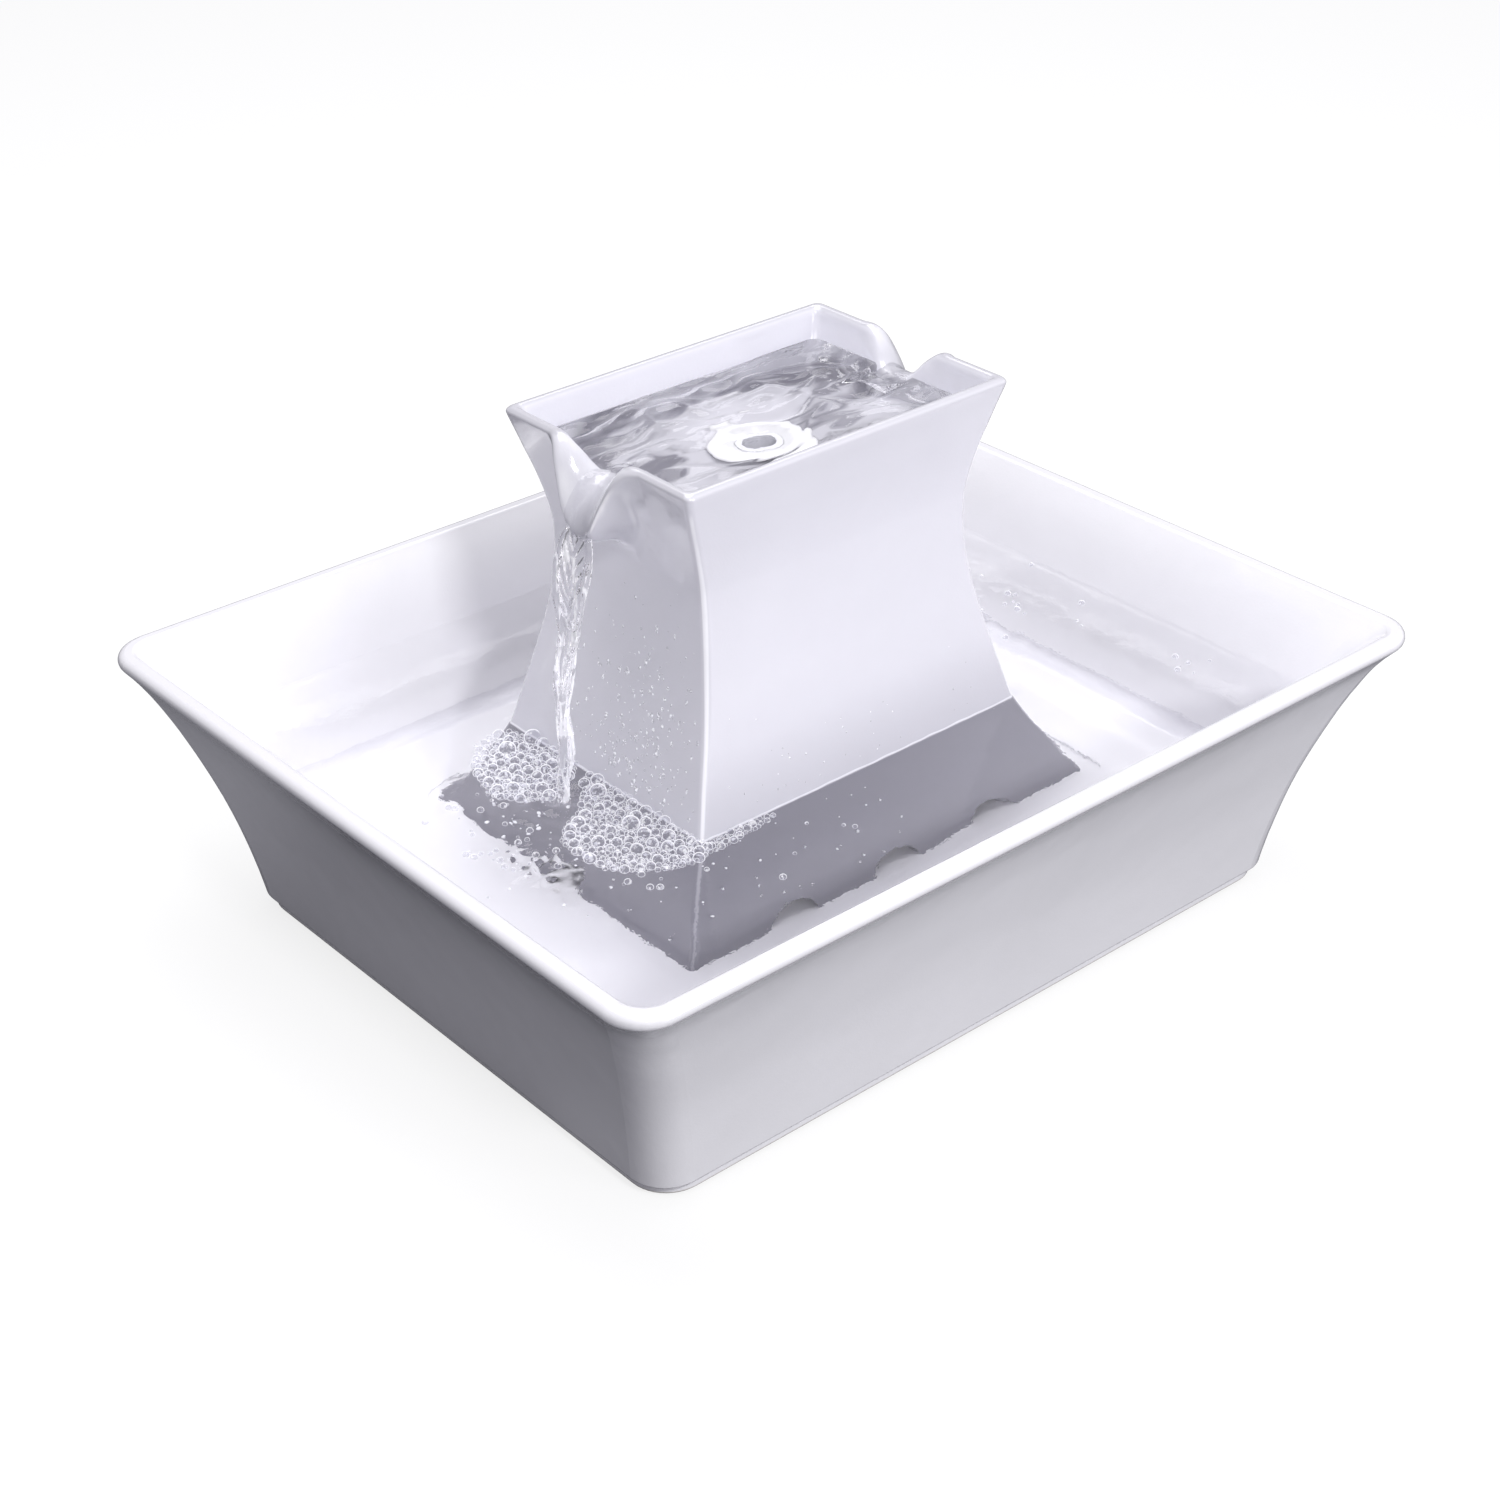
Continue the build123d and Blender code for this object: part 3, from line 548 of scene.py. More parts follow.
def hash01(ix, iy, seed):
    h = (ix * 374761393 + iy * 668265263 + seed * 1442695041) & 0xFFFFFFFF
    h = ((h ^ (h >> 13)) * 1274126177) & 0xFFFFFFFF
    return (h ^ (h >> 16)) / 4294967295.0


def gn(x, y, seed):
    """Gradient noise, about -0.7 to 0.7."""
    x, y = np.asarray(x, float), np.asarray(y, float)
    ix, iy = np.floor(x).astype(np.int64), np.floor(y).astype(np.int64)
    fx, fy = x - ix, y - iy
    u, v = fx * fx * fx * (fx * (fx * 6 - 15) + 10), fy * fy * fy * (fy * (fy * 6 - 15) + 10)
    out = 0.0
    for dx in (0, 1):
        for dy in (0, 1):
            a = 2 * math.pi * hash01(ix + dx, iy + dy, seed)
            g = np.cos(a) * (fx - dx) + np.sin(a) * (fy - dy)
            out = out + g * (u if dx else 1 - u) * (v if dy else 1 - v)
    return out


def smooth01(x):
    x = np.clip(x, 0, 1)
    return x * x * (3 - 2 * x)


def interp_flare(table, z, k):
    """Smooth curve through a flare table, column k, at the heights z."""
    zs = np.array([r[0] for r in table], float)
    vs = np.array([r[k] for r in table], float)
    m = np.gradient(vs, zs)
    z = np.clip(np.asarray(z, float), zs[0], zs[-1])
    i = np.clip(np.searchsorted(zs, z) - 1, 0, len(zs) - 2)
    h = zs[i + 1] - zs[i]
    t = (z - zs[i]) / h
    return ((2 * t**3 - 3 * t**2 + 1) * vs[i] + (t**3 - 2 * t**2 + t) * h * m[i]
            + (-2 * t**3 + 3 * t**2) * vs[i + 1] + (t**3 - t**2) * h * m[i + 1])


# ================================================================== tower
# The CAD tower's sizes, in mm, with the pouring lips drawn out softly.
TOWER = [(12.0, 77.8, 59.5), (30, 71.2, 53.9), (45, 66.3, 49.5), (60, 62.0, 45.8), (75, 57.9, 42.4), (90, 53.9, 39.2),
         (105, 50.8, 36.1), (120, 49.3, 34.4), (132, 49.8, 34.4), (145, 52.9, 36.3), (157, 56.8, 38.9), (165, 59.0, 40.6)]


def tower_a(z):
    return interp_flare(TOWER, z, 1)


def tower_b(z):
    return interp_flare(TOWER, z, 2)


# profile over the wall's top, outside to inside, as (x, z), at distances from the middle of the short side
LIP = {
    0: [(49.6, 128), (49.9, 131.5), (51.3, 135.3), (54.6, 137.4), (58.4, 138.2), (61.4, 138.9), (63.4, 139.9), (64.4, 141.2),
        (64.2, 142.8), (63.0, 145.6), (61.2, 148.8), (59.0, 151.6), (56.4, 153.6), (53.4, 154.5), (50.8, 154.0), (49.5, 150.6), (48.6, 145.2)],
    3.5: [(49.6, 128), (49.9, 131.5), (51.2, 135.6), (54.3, 138.1), (58.1, 139.2), (61.2, 140.1), (63.5, 141.3), (64.7, 142.7),
          (64.6, 144.4), (63.3, 147.4), (61.3, 150.6), (59.0, 153.1), (56.4, 154.8), (53.6, 155.4), (51.2, 154.6), (49.7, 150.8), (48.6, 145.2)],
    6.5: [(49.6, 128), (49.9, 131.6), (51.1, 136.4), (53.7, 140.2), (57.2, 142.2), (60.6, 143.4), (63.4, 144.7), (64.9, 146.3),
          (64.7, 148.2), (63.2, 151.4), (61.0, 154.4), (58.6, 156.5), (56.2, 157.5), (54.0, 157.3), (51.9, 155.6), (50.0, 151.0), (48.6, 145.2)],
    9.5: [(49.6, 128), (49.9, 131.8), (51.1, 138.6), (53.3, 142.9), (56.5, 145.0), (59.8, 147.3), (62.4, 150.1), (63.9, 152.6),
          (63.7, 154.5), (62.2, 157.1), (60.2, 159.4), (58.1, 160.9), (56.1, 161.1), (54.4, 160.1), (52.7, 157.2), (50.6, 151.4), (48.6, 145.2)],
    12.5: [(49.6, 128), (49.9, 132.0), (51.0, 138.6), (53.0, 145.2), (55.7, 150.2), (58.8, 153.9), (61.3, 156.6), (62.5, 158.5),
           (62.1, 160.3), (60.8, 162.1), (59.1, 163.3), (57.3, 163.7), (55.8, 163.0), (54.6, 161.2), (53.1, 158.0), (51.0, 151.6), (48.6, 145.2)],
    15.5: [(49.6, 128), (49.9, 132.3), (51.1, 138.9), (53.2, 145.9), (55.4, 151.6), (57.8, 156.6), (59.8, 160.2), (60.6, 162.2),
           (60.1, 163.7), (59.0, 164.6), (57.8, 165.0), (56.5, 164.7), (55.4, 163.6), (54.6, 161.6), (53.3, 158.0), (51.1, 151.7), (48.6, 145.2)],
    19.5: [(49.6, 128), (49.9, 132.5), (51.3, 139.0), (53.3, 146.3), (55.2, 152.2), (57.1, 157.8), (58.5, 162.4), (58.75, 163.8),
           (58.1, 164.7), (57.2, 165.0), (56.4, 164.9), (55.5, 164.3), (54.9, 163.2), (54.3, 161.2), (53.1, 157.8), (51.1, 151.7), (48.6, 145.2)],
}


def catmull(points, per):
    """Points of a centripetal-like Catmull-Rom curve through rows of an array, per samples to a run."""
    p = np.asarray(points, float)
    e = np.concatenate([[2 * p[0] - p[1]], p, [2 * p[-1] - p[-2]]])
    out = []
    for i in range(1, len(e) - 2):
        for s in range(per):
            t = s / per
            out.append(0.5 * (2 * e[i] + (e[i + 1] - e[i - 1]) * t + (2 * e[i - 1] - 5 * e[i] + 4 * e[i + 1] - e[i + 2]) * t**2
                              + (3 * e[i] - e[i - 1] - 3 * e[i + 1] + e[i + 2]) * t**3))
    out.append(p[-1])
    return np.array(out)


LIP_Y = sorted(LIP)
LIP_KEYS = np.array([[(float(tower_a(121.0)), 121.0)] + LIP[y] for y in LIP_Y], float)      # station, key, (x, z)
LIP_KEYS[:, 1, 0] = float(tower_a(128.0))
for k_ in range(2, 7):
    LIP_KEYS[-1, k_, 0] = float(tower_a(LIP_KEYS[-1, k_, 1]))
STANDARD = catmull(LIP_KEYS[-1], 6)[6:]


def lip_profile(y):
    """The wall's section at distance y from the middle of the short side."""
    y = abs(y)
    if y >= LIP_Y[-1]:
        return STANDARD
    ys = np.array(LIP_Y, float)
    i = int(np.clip(np.searchsorted(ys, y, side="right") - 1, 0, len(ys) - 2))
    p1, p2 = LIP_KEYS[i], LIP_KEYS[i + 1]
    p0 = LIP_KEYS[i - 1] if i else LIP_KEYS[1]               # the lip is symmetric about its middle
    y0 = ys[i - 1] if i else -ys[1]
    p3, y3 = (LIP_KEYS[i + 2], ys[i + 2]) if i + 2 < len(ys) else (LIP_KEYS[-1], ys[-1] + 3)
    h = ys[i + 1] - ys[i]
    m1, m2 = (p2 - p0) / (ys[i + 1] - y0), (p3 - p1) / (y3 - ys[i])
    t = (y - ys[i]) / h
    key = ((2 * t**3 - 3 * t**2 + 1) * p1 + (t**3 - 2 * t**2 + t) * h * m1 + (-2 * t**3 + 3 * t**2) * p2 + (t**3 - t**2) * h * m2)
    return catmull(key, 6)[6:]


def build_tower():
    """One closed skin: outer flare, rim and lips, basin, outlet hole, ceiling, inner wall, scalloped foot."""
    # stations round the outline: short side -X, corner, long side -Y, and so on
    s_short = np.concatenate([[-0.994], np.linspace(-0.975, -0.62, 8, endpoint=False), np.linspace(-0.62, 0.62, 69), np.linspace(0.62, 0.975, 9)[1:], [0.994]])
    arch_s = []
    for xc in (-39.0, 0.0, 39.0):
        for d in (-9.6, -8.9, -8.66, -8.3, -7.6, -6.4, -4.8, -2.8, 0, 2.8, 4.8, 6.4, 7.6, 8.3, 8.66, 8.9, 9.6):
            arch_s.append((xc + d) / 73.8)
    fill = np.concatenate([[-0.995], np.linspace(-0.98, 0.98, 56), [0.995]])
    s_long = np.array(sorted(arch_s + [v for v in fill if min(abs(v - a) for a in arch_s) > 0.014]))
    corner = np.linspace(0, 1, 11)

    # every station: kind, s, side sign
    stations = []
    for s in s_short[::-1]:
        stations.append(("short", s, -1))                     # from +Y to -Y along x = -a
    for c in corner:
        stations.append(("corner", c, (-1, -1)))
    for s in s_long:
        stations.append(("long", s, -1))                      # along y = -b, from -X to +X
    for c in corner:
        stations.append(("corner", c, (1, -1)))
    for s in s_short:
        stations.append(("short", s, 1))
    for c in corner:
        stations.append(("corner", c, (1, 1)))
    for s in s_long[::-1]:
        stations.append(("long", s, 1))
    for c in corner:
        stations.append(("corner", c, (-1, 1)))

    def place(st, a, b, r, z, lip=None):
        kind, s, side = st
        if kind == "short":
            w = smooth01((abs(s) - 0.62) / 0.3) if lip is not None else 1.0
            y = s * ((b - r) * w + 33.0 * (1 - w))
            return (side * a, y, z)
        if kind == "long":
            return (s * (a - r), side * b, z)
        sx, sy = side
        # corner angle runs with the walk round the outline
        ang = {(-1, -1): (math.pi, 1.5 * math.pi), (1, -1): (1.5 * math.pi, 2 * math.pi), (1, 1): (0, 0.5 * math.pi),
               (-1, 1): (0.5 * math.pi, math.pi)}[(sx, sy)]
        t = ang[0] + (ang[1] - ang[0]) * s
        return (sx * (a - r) + r * math.cos(t), sy * (b - r) + r * math.sin(t), z)

    def arch_low(st):
        """Height of the foot at a station."""
        kind, s, side = st
        if kind == "long":
            x = s * 73.8
            for xc in (-39.0, 0.0, 39.0):
                d = abs(x - xc)
                if d < 8.7:
                    return 10.7 + math.sqrt(8.8**2 - d * d)
        if kind == "short":
            d = abs(s * 55.5)
            if d < 8.7:
                return 10.7 + math.sqrt(8.8**2 - d * d)
        return 12.0

    low = [arch_low(st) for st in stations]
    rings = []
    top_profiles = [lip_profile(st[1] * 33.0) if st[0] == "short" and abs(st[1]) < 0.6 else STANDARD for st in stations]

    # outer wall up to the lips
    for z in np.concatenate([np.linspace(12, 30, 13), np.arange(33, 127, 3.0)]):
        ring = []
        for st, zl in zip(stations, low):
            zz = zl + (z - 12) * (30 - zl) / 18 if z < 30 else z
            ring.append(place(st, float(tower_a(zz)), float(tower_b(zz)), 2.2, zz))
        rings.append(ring)
    n_prof = len(STANDARD)
    for k in range(n_prof):
        ring = []
        r = 2.2
        for st, prof in zip(stations, top_profiles):
            x, z = prof[k]
            gap = float(tower_a(z) - tower_b(z))
            ring.append(place(st, x, x - gap, r, min(z, 165.0), lip=True))
        rings.append(ring)
    # basin corner fillet, then the floor in to the outlet hole
    for a, z in ((48.2, 143.6), (47.4, 142.4), (46.2, 141.5), (44.8, 141.05), (43.0, 141.0)):
        rings.append([place(st, a, a - 16.4, 2.4 if a > 45 else 2.0, z, lip=True) for st in stations])
    base = rings[-1]

    def towards_hole(ring, t, z, radius=9.8):
        out = []
        for p in ring:
            ang = math.atan2(p[1] / 0.65, p[0])
            q = (radius * math.cos(ang), radius * math.sin(ang))
            out.append((p[0] * (1 - t) + q[0] * t, p[1] * (1 - t) + q[1] * t, z))
        return out

    for t in (0.15, 0.32, 0.5, 0.68, 0.84, 0.95, 1.0):
        rings.append(towards_hole(base, t, 141.0))
    for z in (139.0, 136.5, 134.0):
        rings.append(towards_hole(base, 1.0, z))
    ceiling = [place(st, 45.4, 29.8, 3.0, 134.0) for st in stations]
    for t in (0.9, 0.7, 0.45, 0.2, 0.0):
        rings.append(towards_hole(ceiling, t, 134.0))
    for z in np.concatenate([[133.2, 131.5, 129.0], np.arange(126, 30, -3.5), np.linspace(30, 12, 9)]):
        ring = []
        for st, zl in zip(stations, low):
            zz = zl + (z - 12) * (30 - zl) / 18 if z < 30 else z
            ring.append(place(st, float(tower_a(min(zz, 130))) - 5.0, float(tower_b(min(zz, 130))) - 5.0, 3.0, zz))
        rings.append(ring)
    # foot: rounded slightly at both edges by two more rings
    for f in (0.25, 0.75):
        ring = []
        for p, q in zip(rings[-1], rings[0]):
            ring.append(tuple(p[i] * (1 - f) + q[i] * f for i in range(3)))
        rings.append(ring)
    n = len(stations)
    verts = [v for ring in rings for v in ring]
    faces = []
    for i in range(len(rings)):
        j = (i + 1) % len(rings)
        for k in range(n):
            l = (k + 1) % n
            faces.append((i * n + k, i * n + l, j * n + l, j * n + k))
    obj = add_mesh("tower_body", np.array(verts) * MM, faces, MAT["glaze_tower"])
    bm = bmesh.new()
    bm.from_mesh(obj.data)
    bmesh.ops.remove_doubles(bm, verts=bm.verts, dist=2e-6)
    bmesh.ops.recalc_face_normals(bm, faces=bm.faces)
    bm.to_mesh(obj.data)
    bm.free()
    obj.data.set_sharp_from_angle(angle=math.radians(50))
    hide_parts("tower")
    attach(obj, "tower")
    return obj


tower = build_tower()


def build_collar():
    """Silicone outlet collar: barbed sleeve through the ceramic, a soft flange with an uneven edge above it."""
    prof = [(7.0, 131.5), (9.2, 131.5), (11.4, 131.55), (12.0, 132.2), (11.9, 133.1), (11.4, 133.8), (10.1, 134.0), (10.0, 135.5), (10.0, 138.2),
            (10.0, 140.8), (10.6, 141.05), (12.4, 141.05), (13.7, 141.2), (14.1, 142.0), (14.3, 143.2), (14.7, 144.4), (14.9, 145.3), (14.6, 146.1),
            (14.1, 146.8), (13.2, 147.4), (12.2, 147.8), (11.2, 147.8), (10.3, 147.4), (9.6, 146.6), (9.0, 145.5), (8.4, 144.2), (7.7, 142.9),
            (7.1, 141.8), (7.0, 138.0), (7.0, 134.5)]
    n = 132
    verts, faces = [], []
    for k in range(n):
        a = 2 * math.pi * k / n
        lean = math.cos(a - math.atan2(-0.75, -0.65))
        edge = 0.5 + 1.7 * lean + 0.8 * float(gn(1.7 * math.cos(a) + 3, 1.7 * math.sin(a), 71)) + 0.30 * float(gn(4.1 * math.cos(a), 4.1 * math.sin(a) + 5, 72))
        lift = 0.5 * float(gn(1.5 * math.cos(a) + 8, 1.5 * math.sin(a), 73))
        for r, z in prof:
            up = smooth01((z - 142.0) / 3.0)
            rr = r + edge * up * smooth01((r - 6.9) / 5.0)
            zz = z if z < 141.2 else 141.2 + (z - 141.2) * 0.60
            verts.append((rr * math.cos(a), rr * math.sin(a), zz + lift * up * smooth01((r - 7.5) / 4.0)))
    m = len(prof)
    for k in range(n):
        l = (k + 1) % n
        for i in range(m):
            j = (i + 1) % m
            faces.append((k * m + i, l * m + i, l * m + j, k * m + j))
    obj = add_mesh("collar_moulding", np.array(verts) * MM, faces, MAT["outlet_collar"])
    bm = bmesh.new()
    bm.from_mesh(obj.data)
    bmesh.ops.recalc_face_normals(bm, faces=bm.faces)
    bm.to_mesh(obj.data)
    bm.free()
    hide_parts("outlet_collar")
    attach(obj, "tower")


build_collar()


# ================================================================== water in the dish
WATER_Z = 62.4
DISH = [(4.6, 28.8), (15, 27.2), (30, 24.2), (45, 20.2), (60, 15.2), (66, 12.9), (72, 10.3), (77, 7.8), (81, 5.4), (84, 3.2), (86.7, 0.9)]
IMPACTS = [(-73.0, 0.5, 1.0), (73.0, -0.5, 0.75)]


def dish_inner(z):
    i = float(interp_flare(DISH, z, 1))
    w = 7.2 + 0.4 * max(0, (z - 60) / 27)
    return 151.9 - i - w, 130.8 - i - w - 1.7 * min(1, i / 8)


def wave_dish(x, y):
    """Height of the dish's water over its level, in mm."""
    h = 0.20 * gn(x / 26 + 3, y / 21, 11) + 0.13 * gn(x / 12, y / 10 + 5, 12) + 0.05 * gn(x / 6, y / 6, 13)
    for ix, iy, amp in IMPACTS:
        d = np.hypot(x - ix, y - iy)
        ang = np.arctan2(y - iy, x - ix)
        wob = 2.0 * gn(2.2 * np.cos(ang) + 9, 2.2 * np.sin(ang) + d / 26, 14)
        broken = 0.30 + 0.9 * np.clip(gn(1.6 * np.cos(ang) + d / 40, 1.6 * np.sin(ang) + 6, 19) + 0.35, 0, 1)
        h = h + amp * 0.62 * broken * np.cos(2 * math.pi * (d + wob) / 8.6) * np.exp(-d / 20.0) * smooth01(d / 4.0)
        h = h - amp * 1.6 * np.exp(-(d / 4.5) ** 2)
        near = np.exp(-(d / 30.0) ** 2)
        h = h + amp * near * (0.55 * gn(x / 7.5 + 20, y / 7.5, 15) + 0.30 * gn(x / 3.4, y / 3.4 + 8, 16))
    # broken water where the fall is carried out to, in front of the lip
    for sx, cx, cy, amp in ((-1, -100.0, -26.0, 1.0), (1, 99.0, 16.0, 0.55)):
        e = np.exp(-(((x - cx) / 10.0) ** 2 + ((y - cy) / 12.5) ** 2) ** 1.3)
        ridge = 1 - np.abs(gn(x / 7.0 + 1.5 * gn(x / 9, y / 9, 21), y / 5.0 + 2, 17)) * 2.6
        h = h + amp * e * (1.15 * ridge + 0.7 * gn(x / 4.2, y / 3.4, 18))
    # surface tension at the walls
    a, b = float(tower_a(WATER_Z)), float(tower_b(WATER_Z))
    dx, dy = np.abs(x) - a, np.abs(y) - b
    dist = np.hypot(np.maximum(dx, 0), np.maximum(dy, 0)) + np.minimum(np.maximum(dx, dy), 0) * -1.0
    h = h + 0.85 * np.exp(-np.abs(dist) / 1.5)
    A, B = dish_inner(WATER_Z)
    edge = np.minimum(A - np.abs(x), B - np.abs(y))
    h = h + 0.7 * np.exp(-np.maximum(edge, 0) / 1.5)
    return h


def graded(lo, hi, fine_lo, fine_hi, fine, coarse):
    """Positions from lo to hi, closely spaced between fine_lo and fine_hi."""
    out = [lo]
    while out[-1] < hi - 1e-6:
        p = out[-1]
        d = min(abs(p - fine_lo), abs(p - fine_hi)) if not fine_lo <= p <= fine_hi else 0.0
        out.append(p + min(coarse, fine + 0.06 * d))
    out = np.array(out)
    return lo + (out - lo) * (hi - lo) / (out[-1] - lo)


def rounded_half_width(y, A, B, r):
    e = np.maximum(np.abs(y) - (B - r), 0.0)
    return A - r + np.sqrt(np.maximum(r * r - e * e, 0.0))


def build_dish_water():
    A, B = dish_inner(WATER_Z)
    A, B, r = A + 0.5, B + 0.5, 8.5
    us = graded(-A, A, -116, -42, 0.85, 1.7) / A
    vs = graded(-B, B, -62, 46, 0.85, 1.7)
    vs[0], vs[-1] = -B, B
    X = rounded_half_width(vs, A, B, r)[:, None] * us[None, :]
    Y = np.repeat(vs[:, None], len(us), axis=1)
    Z = WATER_Z + wave_dish(X, Y)
    ny, nx = X.shape
    verts = np.stack([X, Y, Z], -1).reshape(-1, 3).tolist()
    faces = [(j * nx + i, j * nx + i + 1, (j + 1) * nx + i + 1, (j + 1) * nx + i) for j in range(ny - 1) for i in range(nx - 1)]
    loop = [i for i in range(nx)] + [j * nx + nx - 1 for j in range(1, ny)] + [(ny - 1) * nx + i for i in range(nx - 2, -1, -1)] \
        + [j * nx for j in range(ny - 2, 0, -1)]
    prev = loop
    edge = np.array([verts[i] for i in loop])
    for z, shrink in ((58.0, 0), (50, 0), (42, 0), (34, 0), (27, 0), (20.0, 0.3), (16.4, 1.6), (14.0, 3.8), (12.8, 6.4), (11.4, 9.0)):
        a, b = dish_inner(z)
        a, b = a + 0.5 - shrink, b + 0.5 - shrink
        cur = []
        for p in edge:
            cur.append(len(verts))
            verts.append([p[0] * a / A, p[1] * b / B, z])
        n = len(loop)
        for k in range(n):
            l = (k + 1) % n
            faces.append((prev[l], prev[k], cur[k], cur[l]))
        prev = cur
    faces.append(tuple(prev[::-1]))
    obj = add_mesh("water_dish", np.array(verts) * MM, faces, MAT["water"])
    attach(obj, "dish")
    return obj


water_dish = build_dish_water()


# ================================================================== water in the basin
BASIN_Z = 156.0


def wave_basin(x, y):
    """Height of the basin's water over its level, in mm: long folds that sweep from one lip to the other round the boil."""
    # the folds bend round the boil over the outlet
    bend = 9.0 * np.exp(-((x - 6.0) / 24.0) ** 2) * np.exp(-((y - 4.0) / 16.0) ** 2)
    qx = x + 6.0 * gn(x / 30, y / 22, 31) + 2.2 * gn(x / 11, y / 9, 32)
    qy = y + bend * np.sign(y - 4.0) + 9.0 * gn(x / 34 + 7, y / 22, 33) + 2.4 * gn(x / 13, y / 9 + 4, 34)
    big = 1 - np.abs(gn(qx / 30 + 1.3, qy / 10.5, 35)) * 3.2
    small = 1 - np.abs(gn(qx / 15 + 3, qy / 5.6, 36)) * 3.2
    h = 1.70 * big + 0.36 * small + 0.05 * gn(qx / 5.0, qy / 3.2, 37) - 0.6
    hx, hy = (x - 7.0) / 22.0, (y - 6.0) / 11.0
    rho = np.sqrt(hx * hx + hy * hy)
    h = h * (0.30 + 0.70 * smooth01((rho - 0.35) / 0.9))
    h = h + 3.1 * np.exp(-rho**2 * 1.5) + 0.50 * np.cos(2 * math.pi * rho * 1.7 + 1.6 * gn(x / 9, y / 6, 38)) * np.exp(-rho**2 * 0.8)
    # a calm hollow in front of it, through which the outlet collar shows
    calm = np.exp(-(((x + 9.0) / 17.0) ** 2 + ((y + 13.5) / 10.0) ** 2) ** 1.5)
    h = h * (1 - 0.86 * calm) - 0.5 * calm
    # drawn down to the lips, where the film takes over
    for sx in (-1, 1):
        near = smooth01((sx * x - 40.0) / 9.0) * np.exp(-(y / 11.0) ** 2)
        v = np.cos(2 * math.pi * (np.abs(y) * 1.1 + (50.0 - sx * x) * 0.5) / 8.0)
        h = h * (1 - 0.7 * near) - 0.8 * near + 0.35 * near * v
        sink = smooth01((sx * x - 46.2) / 3.4) * smooth01((8.2 - np.abs(y)) / 3.2)
        h = h * (1 - sink) - 2.4 * sink
    edge = np.minimum(52.3 - np.abs(x), 34.4 - np.abs(y))
    away = 1 - smooth01((8.2 - np.abs(y)) / 3.2) * (np.abs(x) > 40)
    h = h * np.where(away > 0.5, smooth01(edge / 5.0 + 0.25), 1.0) + 0.6 * np.exp(-np.maximum(edge, 0) / 1.3) * away
    return h


def tube_mesh(path, sections):
    """Closed tube through the given sections, each a ring of points in mm, with flat ends; path is not used. Returns
    vertices and faces.
    """
    verts, faces = [], []
    n = len(sections[0])
    for sec in sections:
        verts.extend(sec)
    for i in range(len(sections) - 1):
        for k in range(n):
            l = (k + 1) % n
            faces.append((i * n + k, i * n + l, (i + 1) * n + l, (i + 1) * n + k))
    faces.append(tuple(range(n))[::-1])
    faces.append(tuple((len(sections) - 1) * n + k for k in range(n)))
    return verts, faces


def remesh(parts, name, voxel, material, smooth_steps=2, factor=0.5):
    """One closed skin round overlapping closed parts, each a (vertices in mm, faces) pair."""
    verts, faces = [], []
    for v, f in parts:
        off = len(verts)
        verts.extend([tuple(p) for p in v])
        faces.extend([tuple(i + off for i in q) for q in f])
    tmp = add_mesh(name + "_tmp", np.array(verts) * MM, faces, material)
    bm = bmesh.new()
    bm.from_mesh(tmp.data)
    bmesh.ops.recalc_face_normals(bm, faces=bm.faces)
    bm.to_mesh(tmp.data)
    bm.free()
    mod = tmp.modifiers.new("remesh", "REMESH")
    mod.mode = "VOXEL"
    mod.voxel_size = voxel * MM
    mod.adaptivity = 0.0
    if smooth_steps:
        sm = tmp.modifiers.new("smooth", "SMOOTH")
        sm.iterations = smooth_steps
        sm.factor = factor
    dg = bpy.context.evaluated_depsgraph_get()
    me = bpy.data.meshes.new_from_object(tmp.evaluated_get(dg))
    bpy.data.objects.remove(tmp)
    me.name = name
    me.materials.clear()
    me.materials.append(material)
    me.shade_smooth()
    obj = bpy.data.objects.new(name, me)
    scene.collection.objects.link(obj)
    return obj


def build_basin_water():
    # body of water: a closed slab from the wavy top down into the ceramic floor
    A, B, r = 52.0 + 0.6, 34.2 + 0.6, 3.4
    us = np.linspace(-1, 1, 190)
    vs = np.linspace(-B, B, 126)
    X = rounded_half_width(vs, A, B, r)[:, None] * us[None, :]
    Y = np.repeat(vs[:, None], len(us), axis=1)
    Z = BASIN_Z + wave_basin(X, Y)
    ny, nx = X.shape
    verts = np.stack([X, Y, Z], -1).reshape(-1, 3).tolist()
    faces = [(j * nx + i, j * nx + i + 1, (j + 1) * nx + i + 1, (j + 1) * nx + i) for j in range(ny - 1) for i in range(nx - 1)]
    loop = [i for i in range(nx)] + [j * nx + nx - 1 for j in range(1, ny)] + [(ny - 1) * nx + i for i in range(nx - 2, -1, -1)] \
        + [j * nx for j in range(ny - 2, 0, -1)]
    edge = np.array([verts[i] for i in loop])
    prev = loop
    for z, a in ((153.0, 51.2), (149.0, 49.6), (145.2, 48.9), (142.0, 47.3), (140.2, 45.6)):
        cur = []
        for p in edge:
            cur.append(len(verts))
            verts.append([p[0] * a / 52.6, p[1] * (a - 17.2) / 34.8, z])
        n = len(loop)
        for k in range(n):
            l = (k + 1) % n
            faces.append((prev[l], prev[k], cur[k], cur[l]))
        prev = cur
    faces.append(tuple(prev[::-1]))
    parts = [(verts, faces)]
    obj = remesh(parts, "water_basin", 0.50, MAT["water"], 2)
    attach(obj, "tower")
    return obj


water_basin = build_basin_water()


